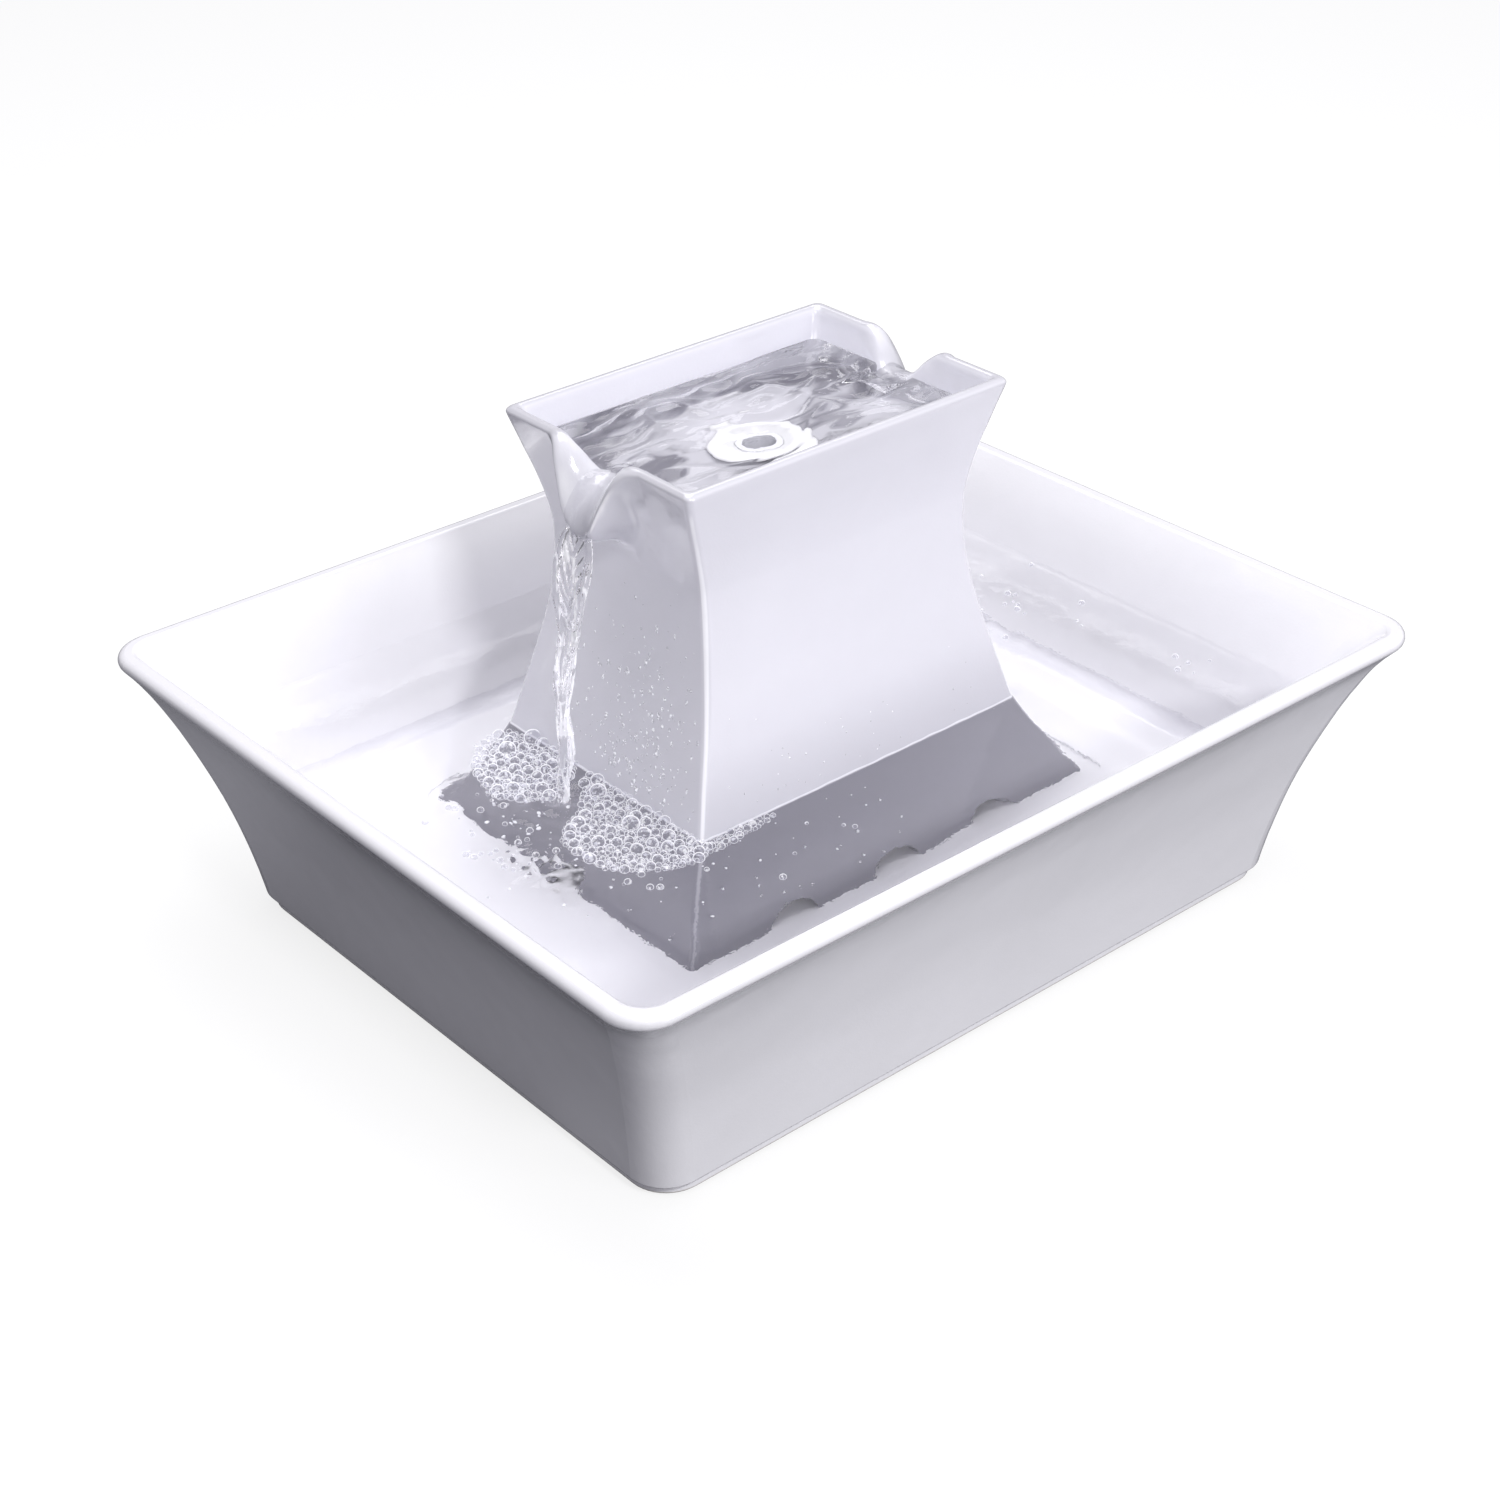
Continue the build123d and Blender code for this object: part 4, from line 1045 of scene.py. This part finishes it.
# ================================================================== falling water
def strand(path, radii, seed, n=10, wobble=0.25):
    secs = []
    for i, (p, r) in enumerate(zip(path, radii)):
        q0, q1 = path[max(i - 1, 0)], path[min(i + 1, len(path) - 1)]
        t = Vector(q1) - Vector(q0)
        t.normalize()
        u = t.cross(Vector((0, 1, 0))).normalized()
        v = t.cross(u)
        ring = []
        for k in range(n):
            a = 2 * math.pi * k / n
            rr = r * (1 + wobble * float(gn(2 * math.cos(a) + i * 0.14, 2 * math.sin(a), seed)) * 2)
            c = Vector(p) + u * (rr * math.cos(a)) + v * (rr * math.sin(a))
            ring.append((c.x, c.y, c.z))
        secs.append(ring)
    return tube_mesh(None, secs)


FALL = [(144.0, 64.6, 0.0, 3.6), (141.0, 65.4, 0.0, 5.2), (136.0, 66.3, 0.2, 6.6), (130.0, 67.0, 1.2, 7.0), (124.0, 67.6, 1.7, 6.5),
        (118.0, 68.3, 1.4, 5.2), (112.0, 68.9, 1.1, 4.3), (106.0, 69.5, 1.8, 4.6), (100.0, 70.1, 2.5, 4.7), (94.0, 70.7, 3.1, 3.9),
        (88.0, 71.2, 2.7, 3.2), (81.0, 71.7, 1.3, 3.4), (74.0, 72.2, 1.0, 3.3), (68.0, 72.6, 1.8, 2.6), (62.0, 72.9, 2.3, 2.2), (56.0, 73.1, 2.4, 2.2)]


def fall_at(z):
    """Middle of the fall at height z (distance out, drift along the lip) and its half width, mm."""
    t = [(-r[0], r[1], r[2], r[3]) for r in FALL]
    return [float(interp_flare(t, -z, k)) for k in (1, 2, 3)]


def film_sections(side, seed):
    """Sheet of water that slides over a pouring lip: its edges run into the glaze."""
    secs = []
    n_top = 19
    lines = [lip_profile(w) for w in (0.0,)]
    # inside the basin, under the surface
    for x, top, half in ((43.0, 154.2, 7.0), (45.0, 155.2, 6.8), (47.0, 155.8, 6.5), (49.0, 156.1, 6.2), (50.6, 156.2, 5.9)):
        ring = []
        for k in range(n_top):
            y = half * (2 * k / (n_top - 1) - 1)
            v = 0.25 * math.cos(2 * math.pi * (abs(y) * 1.1 + (50.0 - x) * 0.5) / 7.0)
            ring.append((side * x, side * y, top - 1.5 * (y / half) ** 4 + v))
        for k in range(n_top - 1, -1, -1):
            y = half * (2 * k / (n_top - 1) - 1)
            ring.append((side * x, side * y, 152.2))
        secs.append(ring)
    last = 82
    for k in range(last, 41, -1):
        run = (last - k) / (last - 42.0)
        half = 5.0 + 0.9 * run
        thick = 1.75 - 0.55 * smooth01(run * 1.6)
        tops, lows = [], []
        for q in range(n_top):
            y = half * 1.22 * (2 * q / (n_top - 1) - 1)
            prof = lip_profile(y)
            p0, p1 = prof[k + 1], prof[k - 1]
            t = (p1 - p0) / np.linalg.norm(p1 - p0)
            nrm = np.array([-t[1], t[0]])
            if nrm[0] * 0.7 + nrm[1] < 0:
                nrm = -nrm
            wave = 0.34 * float(gn(y / 2.6 + 5, run * 5.0, seed)) * (0.4 + run) + 0.16 * math.cos(2 * math.pi * (abs(y) * 0.9 - run * 22) / 6.0)
            h = thick * (1 - (y / half) ** 2) + wave * max(0.0, 1 - (y / half) ** 2)
            c = prof[k]
            tops.append((side * (c[0] + nrm[0] * h), side * y, c[1] + nrm[1] * h))
            lows.append((side * (c[0] - nrm[0] * 1.5), side * y, c[1] - nrm[1] * 1.5))
        secs.append(tops + lows[::-1])
    return secs


def build_stream(side, seed):
    """Twisting sheet of water with thick edges and loose strands round it, closed to a rounded foot under the surface."""
    rnd = random.Random(seed)
    parts = [tube_mesh(None, film_sections(side, seed + 50))]
    zs = np.arange(143.5, 57.0, -0.55)
    secs = []
    face = math.radians(-21.0)                                # the sheet leaves the lip askew
    for i, z in enumerate(zs):
        cx, cy, w = fall_at(z)
        run = (143.5 - z) / 86.0
        turn = face + 0.5 * math.sin(3.0 * run) + 1.3 * smooth01((run - 0.35) / 0.65) + 0.25 * float(gn(z / 14, 1.0, seed + 3))
        thin = 0.34 + 0.75 * smooth01((run - 0.28) / 0.6)
        rim = 0.95 + 0.35 * float(gn(z / 8, 5.0, seed + 4)) + 0.25 * run
        chev = 0.30 * (1 - 0.5 * run)
        ring = []
        N = 56
        for k in range(N):
            a = 2 * math.pi * k / N
            u = math.cos(a)
            core = thin * (1 - 0.35 * u * u) + rim * smooth01((abs(u) - 0.62) / 0.22) * math.sqrt(max(0.0, 1 - max(0.0, abs(u) - 0.9) * 10 * 0.9))
            tt = core * (math.sin(a) if abs(math.sin(a)) < 0.45 else math.copysign(0.45 + 0.55 * (abs(math.sin(a)) - 0.45) / 0.55, math.sin(a)))
            tt = core * math.sin(a) ** 1 if abs(u) > 0.9 else core * math.copysign(min(1.0, abs(math.sin(a)) * 1.7), math.sin(a))
            yy = w * u
            fold = 0.85 * math.sin(1.9 * u + z / 8.5 + seed) * (0.35 + 0.65 * run) * (0.6 + 0.4 * w / 6.0)
            rip = chev * math.cos(2 * math.pi * (z - 2.4 * abs(yy)) / 5.2 + 2.0 * float(gn(yy / 3, z / 12, seed + 6))) * (1 - u * u)
            lump = 0.36 * float(gn(2.0 * math.cos(a) + z / 7.0, 2.0 * math.sin(a) + z / 21.0, seed + 5))
            bead = 0.22 * float(gn(3.5 * math.cos(a) + 11, z / 2.6, seed + 12))
            xx = tt * (1 + 0.5 * bead) + fold + (rip + lump) * (1 if math.sin(a) > 0 else -0.6)
            yy = yy * (1 + 0.06 * bead) + lump * u
            ct, st = math.cos(turn), math.sin(turn)
            # across the sheet runs +Y at turn 0, x points away from the tower
            ox = xx * ct - yy * st
            oy = yy * ct + xx * st
            ring.append((side * (cx + ox), side * (-oy - cy) if side > 0 else (oy + cy), z))
        secs.append(ring)
    parts.append(tube_mesh(None, secs))
    # loose strands that wind round the sheet
    for j in range(9):
        ph = rnd.uniform(0, 2 * math.pi)
        turns = rnd.uniform(0.5, 1.5) * rnd.choice((-1, 1))
        if j < 3:
            z0, z1 = 138.0 - 4 * j, 59.0
        else:
            z0 = rnd.uniform(88, 132)
            z1 = max(60.0, z0 - rnd.uniform(22, 46))
        path, radii = [], []
        for z in np.arange(z0, z1, -0.8):
            cx, cy, w = fall_at(z)
            run = (143.5 - z) / 86.0
            ang = ph + turns * 2 * math.pi * run
            rad = w * (0.82 + 0.22 * float(gn(z / 11, j * 3.1, seed + 7)))
            ox, oy = 0.45 * rad * math.sin(ang), rad * math.cos(ang)
            path.append((side * (cx + ox), side * (-oy - cy) if side > 0 else (oy + cy), z))
            ends = max(0.15, min(1.0, (z0 - z) / 5.0 + 0.15, (z - z1) / 5.0 + 0.15))
            radii.append((0.50 + 0.22 * float(gn(z / 5, j * 1.7, seed + 8)) + 0.12 * float(gn(z / 1.7, j * 2.9, seed + 13))) * ends)
        parts.append(strand(path, radii, seed + 20 + j))
    obj = remesh(parts, "stream_left" if side < 0 else "stream_right", 0.33, MAT["water_falling"], 2, 0.45)
    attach(obj, "tower")
    return obj


streams = [build_stream(-1, 61), build_stream(1, 83)]


# ================================================================== foam, beads and drops
def ball(c, r, nu, nv, flat=1.0, seed=0):
    """Closed ball: rings between two poles."""
    verts = [(c[0], c[1], c[2] + r * flat)]
    for j in range(1, nv):
        th = math.pi * j / nv
        for i in range(nu):
            ph = 2 * math.pi * (i + 0.5 * (j % 2)) / nu
            verts.append((c[0] + r * math.sin(th) * math.cos(ph), c[1] + r * math.sin(th) * math.sin(ph), c[2] + r * flat * math.cos(th)))
    verts.append((c[0], c[1], c[2] - r * flat))
    faces = [(0, 1 + i, 1 + (i + 1) % nu) for i in range(nu)]
    for j in range(nv - 2):
        a, b = 1 + j * nu, 1 + (j + 1) * nu
        for i in range(nu):
            k = (i + 1) % nu
            faces.append((a + i, b + i, b + k, a + k))
    last = len(verts) - 1
    a = 1 + (nv - 2) * nu
    faces += [(last, a + (i + 1) % nu, a + i) for i in range(nu)]
    return verts, faces


def merge(items):
    verts, faces = [], []
    for v, f in items:
        off = len(verts)
        verts.extend(v)
        faces.extend([tuple(i + off for i in q) for q in f])
    return verts, faces


def inside(poly, x, y):
    n, c = len(poly), False
    for i in range(n):
        (x0, y0), (x1, y1) = poly[i], poly[(i + 1) % n]
        if (y0 > y) != (y1 > y) and x < (x1 - x0) * (y - y0) / (y1 - y0) + x0:
            c = not c
    return c


A_W, B_W = float(tower_a(WATER_Z)), float(tower_b(WATER_Z))


def raft(poly, seed, sizes, tries=9000):
    """Bubbles packed side by side in an outline on the water, big ones first."""
    rnd = random.Random(seed)
    xs, ys = [p[0] for p in poly], [p[1] for p in poly]
    got = []
    cell = {}
    for r0, r1, share in sizes:
        for _ in range(int(tries * share)):
            x, y = rnd.uniform(min(xs), max(xs)), rnd.uniform(min(ys), max(ys))
            if not inside(poly, x, y):
                continue
            r = rnd.uniform(r0, r1)
            if abs(x) < A_W + 0.15 * r and abs(y) < B_W + 0.15 * r:
                continue
            key = (int(x // 7), int(y // 7))
            near = [b for i in (-1, 0, 1) for j in (-1, 0, 1) for b in cell.get((key[0] + i, key[1] + j), [])]
            if all(math.hypot(x - b[0], y - b[1]) > 0.90 * (r + b[2]) for b in near):
                b = (x, y, r)
                cell.setdefault(key, []).append(b)
                got.append(b)
    return got


SIZES = [(2.3, 2.8, 0.0005), (1.6, 2.1, 0.006), (1.05, 1.5, 0.08), (0.7, 1.0, 0.8), (0.42, 0.65, 2.2), (0.26, 0.4, 2.0)]
FOAM = {
    "foam_left": ([(-60.5, 29), (-64, 38), (-69, 42), (-77, 38), (-84, 31), (-88, 20), (-89.5, 12), (-84, 5), (-77, 1), (-72, 5), (-66, 7), (-60.5, 12)], 5, 9000),
    "foam_front": ([(-60.5, 5), (-66, 3), (-71, -4), (-76, -9), (-84, -13), (-90, -19), (-90, -30), (-89, -38), (-83, -44), (-75, -50), (-67, -51.5),
                    (-61, -49), (-60, -30), (-60, -10)], 6, 12000),
    "foam_trail": ([(-62, -46.2), (-62, -50.5), (-52, -50.2), (-40, -48.6), (-36, -47.4), (-40, -46.2)], 7, 1600),
    "foam_right": ([(60.5, -12), (66, -10), (76, -5), (80, 3), (79, 12), (70, 19), (60.5, 22)], 8, 3500),
}
for name, (poly, seed, tries) in FOAM.items():
    items = []
    sizes = SIZES if name != "foam_trail" else [(1.1, 1.4, 0.02), (0.7, 1.0, 0.4), (0.35, 0.6, 2.0)]
    pile = random.Random(seed + 100)
    for x, y, r in raft(poly, seed, sizes, tries):
        z = WATER_Z + float(wave_dish(np.array([x]), np.array([y]))[0]) * 0.6 + 0.30 * r
        nu = 16 if r > 1.4 else 12 if r > 0.8 else 8 if r > 0.42 else 6
        items.append(ball((x, y, z), r, nu, max(4, nu * 5 // 8), 0.86))
        # a second layer where the foam is thickest
        if name != "foam_trail" and pile.random() < (0.30 if name == "foam_left" else 0.14) and r < 1.5:
            q = pile.choice((0.35, 0.5, 0.7, 0.9))
            a = pile.uniform(0, 2 * math.pi)
            items.append(ball((x + 0.8 * r * math.cos(a), y + 0.8 * r * math.sin(a), z + 0.75 * r + 0.3 * q), q, 10 if q > 0.6 else 8, 6, 0.9))
    v, f = merge(items)
    obj = add_mesh(name, np.array(v) * MM, f, MAT["bubble"])
    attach(obj, "dish")

# beads of air under the surface and stray bubbles on it
tower_tree = BVHTree.FromObject(tower, bpy.context.evaluated_depsgraph_get())
rnd = random.Random(91)
items = []
for _ in range(46):
    x, y = rnd.gauss(-82, 12), rnd.gauss(-8, 16)
    z = WATER_Z - abs(rnd.gauss(0, 7)) - 1.5
    if abs(x) < float(tower_a(z)) + 1.5 or x < -118 or z < 20:
        continue
    items.append(ball((x, y, z), rnd.choice((0.3, 0.4, 0.5, 0.7)), 8, 6))
for face, count in (("short", 46), ("long", 34)):
    for _ in range(count):
        z = rnd.uniform(17, 58)
        if face == "short":
            o, d = Vector((-0.12, rnd.uniform(-52, 30) * MM, z * MM)), Vector((1, 0, 0))
        else:
            o, d = Vector((rnd.uniform(-70, 10) * MM, -0.12, z * MM)), Vector((0, 1, 0))
        hit, nrm, _i, _d = tower_tree.ray_cast(o, d)
        if hit is None:
            continue
        p = hit / MM + nrm * rnd.uniform(0.3, 1.2)
        items.append(ball(tuple(p), rnd.choice((0.22, 0.28, 0.36, 0.5)), 8, 6))
for _ in range(30):
    x, y = rnd.gauss(84, 10), rnd.gauss(2, 12)
    z = WATER_Z - abs(rnd.gauss(0, 6)) - 1.5
    if abs(x) > float(tower_a(z)) + 1.5 and z > 20:
        items.append(ball((x, y, z), rnd.choice((0.3, 0.4, 0.6)), 8, 6))
v, f = merge(items)
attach(add_mesh("air_beads", np.array(v) * MM, f, MAT["bead"]), "dish")
items = []
for cx, cy, sx, sy, count in ((-92, 10, 8, 8, 26), (-98, -16, 9, 10, 30), (-80, -50, 8, 3, 14), (90, 5, 16, 14, 34), (112, -66, 4, 4, 6), (-50, -60, 10, 5, 5)):
    for _ in range(count):
        x, y, r = rnd.gauss(cx, sx), rnd.gauss(cy, sy), rnd.choice((0.35, 0.5, 0.6, 0.8, 1.1))
        if abs(x) < A_W + 1.5 and abs(y) < B_W + 1.5:
            continue
        z = WATER_Z + float(wave_dish(np.array([x]), np.array([y]))[0]) + 0.2 * r
        items.append(ball((x, y, z), r, 10, 7, 0.8))
v, f = merge(items)
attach(add_mesh("stray_bubbles", np.array(v) * MM, f, MAT["bubble"]), "dish")


def dome(c, nrm, r, stretch, nu=10, nv=4):
    """Closed drop lying on a wall, longer down the slope."""
    nrm = nrm.normalized()
    down = (Vector((0, 0, -1)) - nrm * (-nrm.z)).normalized()
    side = nrm.cross(down)
    verts = [tuple(c + nrm * r * 0.62)]
    for j in range(1, nv + 1):
        th = 0.5 * math.pi * j / nv
        for i in range(nu):
            ph = 2 * math.pi * i / nu
            s = math.sin(ph)
            long_ = r * stretch if s > 0 else r
            p = c + side * (r * math.sin(th) * math.cos(ph)) + down * (long_ * math.sin(th) * s) + nrm * (r * 0.62 * math.cos(th) - 0.05)
            verts.append(tuple(p))
    verts.append(tuple(c - nrm * 0.25))
    faces = [(0, 1 + (i + 1) % nu, 1 + i) for i in range(nu)]
    for j in range(nv - 1):
        a, b = 1 + j * nu, 1 + (j + 1) * nu
        for i in range(nu):
            k = (i + 1) % nu
            faces.append((a + i, a + k, b + k, b + i))
    a, last = 1 + (nv - 1) * nu, len(verts) - 1
    faces += [(last, a + i, a + (i + 1) % nu) for i in range(nu)]
    return verts, faces


items = []
for _ in range(430):
    side = -1 if rnd.random() < 0.75 else 1
    y, z = rnd.gauss(-12 * -side, 15), 66 + abs(rnd.gauss(0, 26))
    if z > 134 or abs(y) > float(tower_b(z)) - 3:
        continue
    hit, nrm, _i, _d = tower_tree.ray_cast(Vector((side * 0.12, y * MM, z * MM)), Vector((-side, 0, 0)))
    if hit is None:
        continue
    r = rnd.choice((0.22, 0.28, 0.3, 0.38, 0.45, 0.6))
    items.append(dome(Vector(hit) / MM, nrm, r, rnd.choice((1.0, 1.3, 2.0, 3.4)) if r > 0.3 else 1.0))
for _ in range(40):
    x, z = rnd.uniform(-50, 45), 66 + abs(rnd.gauss(0, 12))
    hit, nrm, _i, _d = tower_tree.ray_cast(Vector((x * MM, -0.12, z * MM)), Vector((0, 1, 0)))
    if hit is not None and z < 120:
        items.append(dome(Vector(hit) / MM, nrm, rnd.choice((0.2, 0.26, 0.34)), 1.2))
v, f = merge(items)
drops = add_mesh("wall_drops", np.array(v) * MM, f, MAT["droplets"])
bm = bmesh.new()
bm.from_mesh(drops.data)
bmesh.ops.recalc_face_normals(bm, faces=bm.faces)
bm.to_mesh(drops.data)
bm.free()
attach(drops, "tower")


# ================================================================== foam filter block
def build_foam_filter():
    lo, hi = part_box("foam_filter")
    lo, hi = np.array(lo) / MM, np.array(hi) / MM
    size = hi - lo
    n = [max(2, int(round(s / 0.8))) for s in size]
    bm = bmesh.new()
    index = {}

    def vert(i, j, k):
        if (i, j, k) not in index:
            p = lo + size * np.array([i / n[0], j / n[1], k / n[2]])
            index[(i, j, k)] = bm.verts.new(tuple(p * MM))
        return index[(i, j, k)]

    for ax in range(3):
        b, c = [q for q in range(3) if q != ax]
        for end in (0, n[ax]):
            for i in range(n[b]):
                for j in range(n[c]):
                    q = []
                    for di, dj in ((0, 0), (1, 0), (1, 1), (0, 1)):
                        ijk = [0, 0, 0]
                        ijk[ax], ijk[b], ijk[c] = end, i + di, j + dj
                        q.append(vert(*ijk))
                    bm.faces.new(q)
    bmesh.ops.recalc_face_normals(bm, faces=bm.faces)
    rnd_ = random.Random(17)
    centre = (lo + hi) / 2
    for v in bm.verts:
        p = np.array(v.co) / MM
        # soft edges, open cells
        q = (p - centre) / (size / 2)
        edge = sum(abs(c) > 0.985 for c in q)
        inward = np.array([-np.sign(c) if abs(c) > 0.985 else 0.0 for c in q])
        depth = (0.25 if edge == 1 else 0.55) + 0.42 * rnd_.random() * (rnd_.random() > 0.45)
        v.co = Vector(tuple((p + inward * depth) * MM))
    me = bpy.data.meshes.new("foam_block")
    bm.to_mesh(me)
    bm.free()
    me.shade_smooth()
    me.materials.append(MAT["foam_filter"])
    obj = bpy.data.objects.new("foam_block", me)
    scene.collection.objects.link(obj)
    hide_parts("foam_filter")
    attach(obj, "foam_filter")
    return obj


build_foam_filter()


# ================================================================== carbon bed, its screens, and the coil
def node_box(name):
    lo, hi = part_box(name)
    return np.array(lo) / MM, np.array(hi) / MM


def stand_in(obj, node, body):
    bm = bmesh.new()
    bm.from_mesh(obj.data)
    bmesh.ops.recalc_face_normals(bm, faces=bm.faces)
    bm.to_mesh(obj.data)
    bm.free()
    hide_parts(node)
    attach(obj, body)
    return obj


def build_granules():
    """Loose bed of crushed carbon: angular grains packed between the screens."""
    lo, hi = node_box("carbon_granules")
    rnd_ = random.Random(41)
    t = (1 + 5**0.5) / 2
    base = [(-1, t, 0), (1, t, 0), (-1, -t, 0), (1, -t, 0), (0, -1, t), (0, 1, t), (0, -1, -t), (0, 1, -t), (t, 0, -1), (t, 0, 1), (-t, 0, -1), (-t, 0, 1)]
    tris = [(0, 11, 5), (0, 5, 1), (0, 1, 7), (0, 7, 10), (0, 10, 11), (1, 5, 9), (5, 11, 4), (11, 10, 2), (10, 7, 6), (7, 1, 8),
            (3, 9, 4), (3, 4, 2), (3, 2, 6), (3, 6, 8), (3, 8, 9), (4, 9, 5), (2, 4, 11), (6, 2, 10), (8, 6, 7), (9, 8, 1)]
    n = [max(3, int(round(d / 1.62))) for d in (hi - lo)]
    step = (hi - lo) / n
    verts, faces = [], []
    for i in range(n[0]):
        for j in range(n[1]):
            for k in range(n[2]):
                c = lo + step * (np.array([i, j, k]) + 0.5 + 0.20 * np.array([rnd_.uniform(-1, 1) for _ in range(3)]))
                r = rnd_.uniform(0.62, 1.02)
                sx, sy, sz = rnd_.uniform(0.75, 1.25), rnd_.uniform(0.75, 1.25), rnd_.uniform(0.75, 1.25)
                turn = Matrix.Rotation(rnd_.uniform(0, 6.28), 3, "X") @ Matrix.Rotation(rnd_.uniform(0, 6.28), 3, "Y")
                off = len(verts)
                for b in base:
                    q = turn @ Vector((b[0] * sx, b[1] * sy, b[2] * sz)) * (r / 1.9 * rnd_.uniform(0.80, 1.12))
                    verts.append(tuple(np.clip(c + np.array(q), lo + 0.01, hi - 0.01)))
                faces += [tuple(off + v for v in f) for f in tris]
    obj = add_mesh("granule_bed", np.array(verts) * MM, faces, MAT["carbon_granules"], smooth=False)
    return stand_in(obj, "carbon_granules", "carbon_cassette")


def build_screens():
    """Two sheets of bonded fleece, uneven where the fibres cross."""
    lo, hi = node_box("carbon_screens")
    items = []
    ny, nz = 120, 70
    for x0, x1, outer in ((lo[0], lo[0] + 0.5, -1), (hi[0] - 0.5, hi[0], 1)):
        verts, faces = [], []
        ys, zs = np.linspace(lo[1], hi[1], ny), np.linspace(lo[2], hi[2], nz)
        Y, Z = np.meshgrid(ys, zs)
        fibre = np.clip(0.5 * gn(Y / 0.9, Z / 0.9, 51) + 0.35 * gn(Y / 0.55 + Z / 1.4, Z / 0.6, 52) + 0.35 * gn(Y / 1.6 - Z / 0.8, Z / 0.8 + 3, 53), -0.45, 0.45)
        for side in (0, 1):
            x = x0 if side == 0 else x1
            depth = (0.11 + 0.22 * fibre) * (1 if side == 0 else -1)
            for j in range(nz):
                for i in range(ny):
                    verts.append((x + float(depth[j, i]), float(Y[j, i]), float(Z[j, i])))
        m_ = ny * nz
        for j in range(nz - 1):
            for i in range(ny - 1):
                a = j * ny + i
                faces.append((a, a + 1, a + ny + 1, a + ny))
                faces.append((m_ + a, m_ + a + ny, m_ + a + ny + 1, m_ + a + 1))
        loop = list(range(ny)) + [j * ny + ny - 1 for j in range(1, nz)] + [(nz - 1) * ny + i for i in range(ny - 2, -1, -1)] + [j * ny for j in range(nz - 2, 0, -1)]
        for k in range(len(loop)):
            a, b = loop[k], loop[(k + 1) % len(loop)]
            faces.append((b, a, m_ + a, m_ + b))
        items.append((verts, faces))
    v, f = merge(items)
    obj = add_mesh("fleece_screens", np.array(v) * MM, f, MAT["carbon_screens"])
    obj.data.set_sharp_from_angle(angle=math.radians(60))
    return stand_in(obj, "carbon_screens", "carbon_cassette")


def build_winding():
    """Enamelled wire laid turn by turn along the bobbin, over the layers beneath."""
    lo, hi = node_box("coil_winding")
    wire = 0.255
    x0, x1, z0, z1 = lo[0] + wire, hi[0] - wire, lo[2] + wire, hi[2] - wire
    r = 1.6
    pts = []
    for cx, cz, a0 in ((x1 - r, z1 - r, 0), (x0 + r, z1 - r, 90), (x0 + r, z0 + r, 180), (x1 - r, z0 + r, 270)):
        for k in range(6):
            a = math.radians(a0 + 90 * k / 5)
            pts.append((cx + r * math.cos(a), cz + r * math.sin(a)))
    turns = int((hi[1] - lo[1] - 2 * wire) / (2 * wire * 1.03))
    n = len(pts) * turns
    path = []
    for i in range(n + 1):
        x, z = pts[i % len(pts)]
        y = lo[1] + wire + (hi[1] - lo[1] - 2 * wire) * i / n
        path.append((x, y, z))
    secs = []
    for i, c in enumerate(path):
        q0, q1 = path[max(i - 1, 0)], path[min(i + 1, n)]
        t = (Vector(q1) - Vector(q0)).normalized()
        u = t.cross(Vector((0, 1, 0))).normalized()
        v = t.cross(u)
        secs.append([tuple(Vector(c) + u * (wire * math.cos(a)) + v * (wire * math.sin(a))) for a in (2 * math.pi * k / 8 for k in range(8))])
    wire_mesh = tube_mesh(None, secs)
    # the layers beneath, as one sleeve round the bobbin
    outer = [(lo[0] + 0.40, lo[2] + 0.40), (hi[0] - 0.40, lo[2] + 0.40), (hi[0] - 0.40, hi[2] - 0.40), (lo[0] + 0.40, hi[2] - 0.40)]
    inner = [(12.62, 49.12), (31.38, 49.12), (31.38, 58.88), (12.62, 58.88)]
    verts, faces = [], []
    for y in (lo[1] + 0.2, hi[1] - 0.2):
        for ring in (outer, inner):
            verts += [(x, y, z) for x, z in ring]
    for k in range(4):
        l = (k + 1) % 4
        faces += [(k, l, 8 + l, 8 + k), (4 + l, 4 + k, 12 + k, 12 + l), (k, 4 + k, 4 + l, l), (8 + l, 12 + l, 12 + k, 8 + k)]
    v, f = merge([wire_mesh, (verts, faces)])
    obj = add_mesh("wire_turns", np.array(v) * MM, f, MAT["coil_winding"])
    obj.data.set_sharp_from_angle(angle=math.radians(60))
    return stand_in(obj, "coil_winding", "pump")


build_granules()
build_screens()
build_winding()

# ================================================================== floor
fl = bpy.data.meshes.new("floor")
fl.from_pydata([(-6, -6, 0), (6, -6, 0), (6, 6, 0), (-6, 6, 0)], [], [(0, 1, 2, 3)])
floor = bpy.data.objects.new("floor", fl)
scene.collection.objects.link(floor)
fm = Mat("floor_pale")
fm.t.nodes.remove(fm.p)
dull = fm.new("ShaderNodeBsdfDiffuse")
dull.inputs["Color"].default_value = (0.17, 0.17, 0.185, 1)
pale = fm.new("ShaderNodeBsdfDiffuse")
pale.inputs["Color"].default_value = (0.22, 0.22, 0.22, 1)
glow = fm.new("ShaderNodeEmission")
glow.inputs["Color"].default_value = (1, 1, 1, 1)
glow.inputs["Strength"].default_value = 0.80
both = fm.new("ShaderNodeAddShader")
fm.put(both.inputs[0], pale.outputs[0])
fm.put(both.inputs[1], glow.outputs[0])
lpf = fm.new("ShaderNodeLightPath")
mixf = fm.new("ShaderNodeMixShader")
fm.put(mixf.inputs[0], lpf.outputs["Is Camera Ray"])
fm.put(mixf.inputs[1], dull.outputs[0])
fm.put(mixf.inputs[2], both.outputs[0])
fm.put(fm.out.inputs["Surface"], mixf.outputs[0])
fl.materials.append(fm.m)
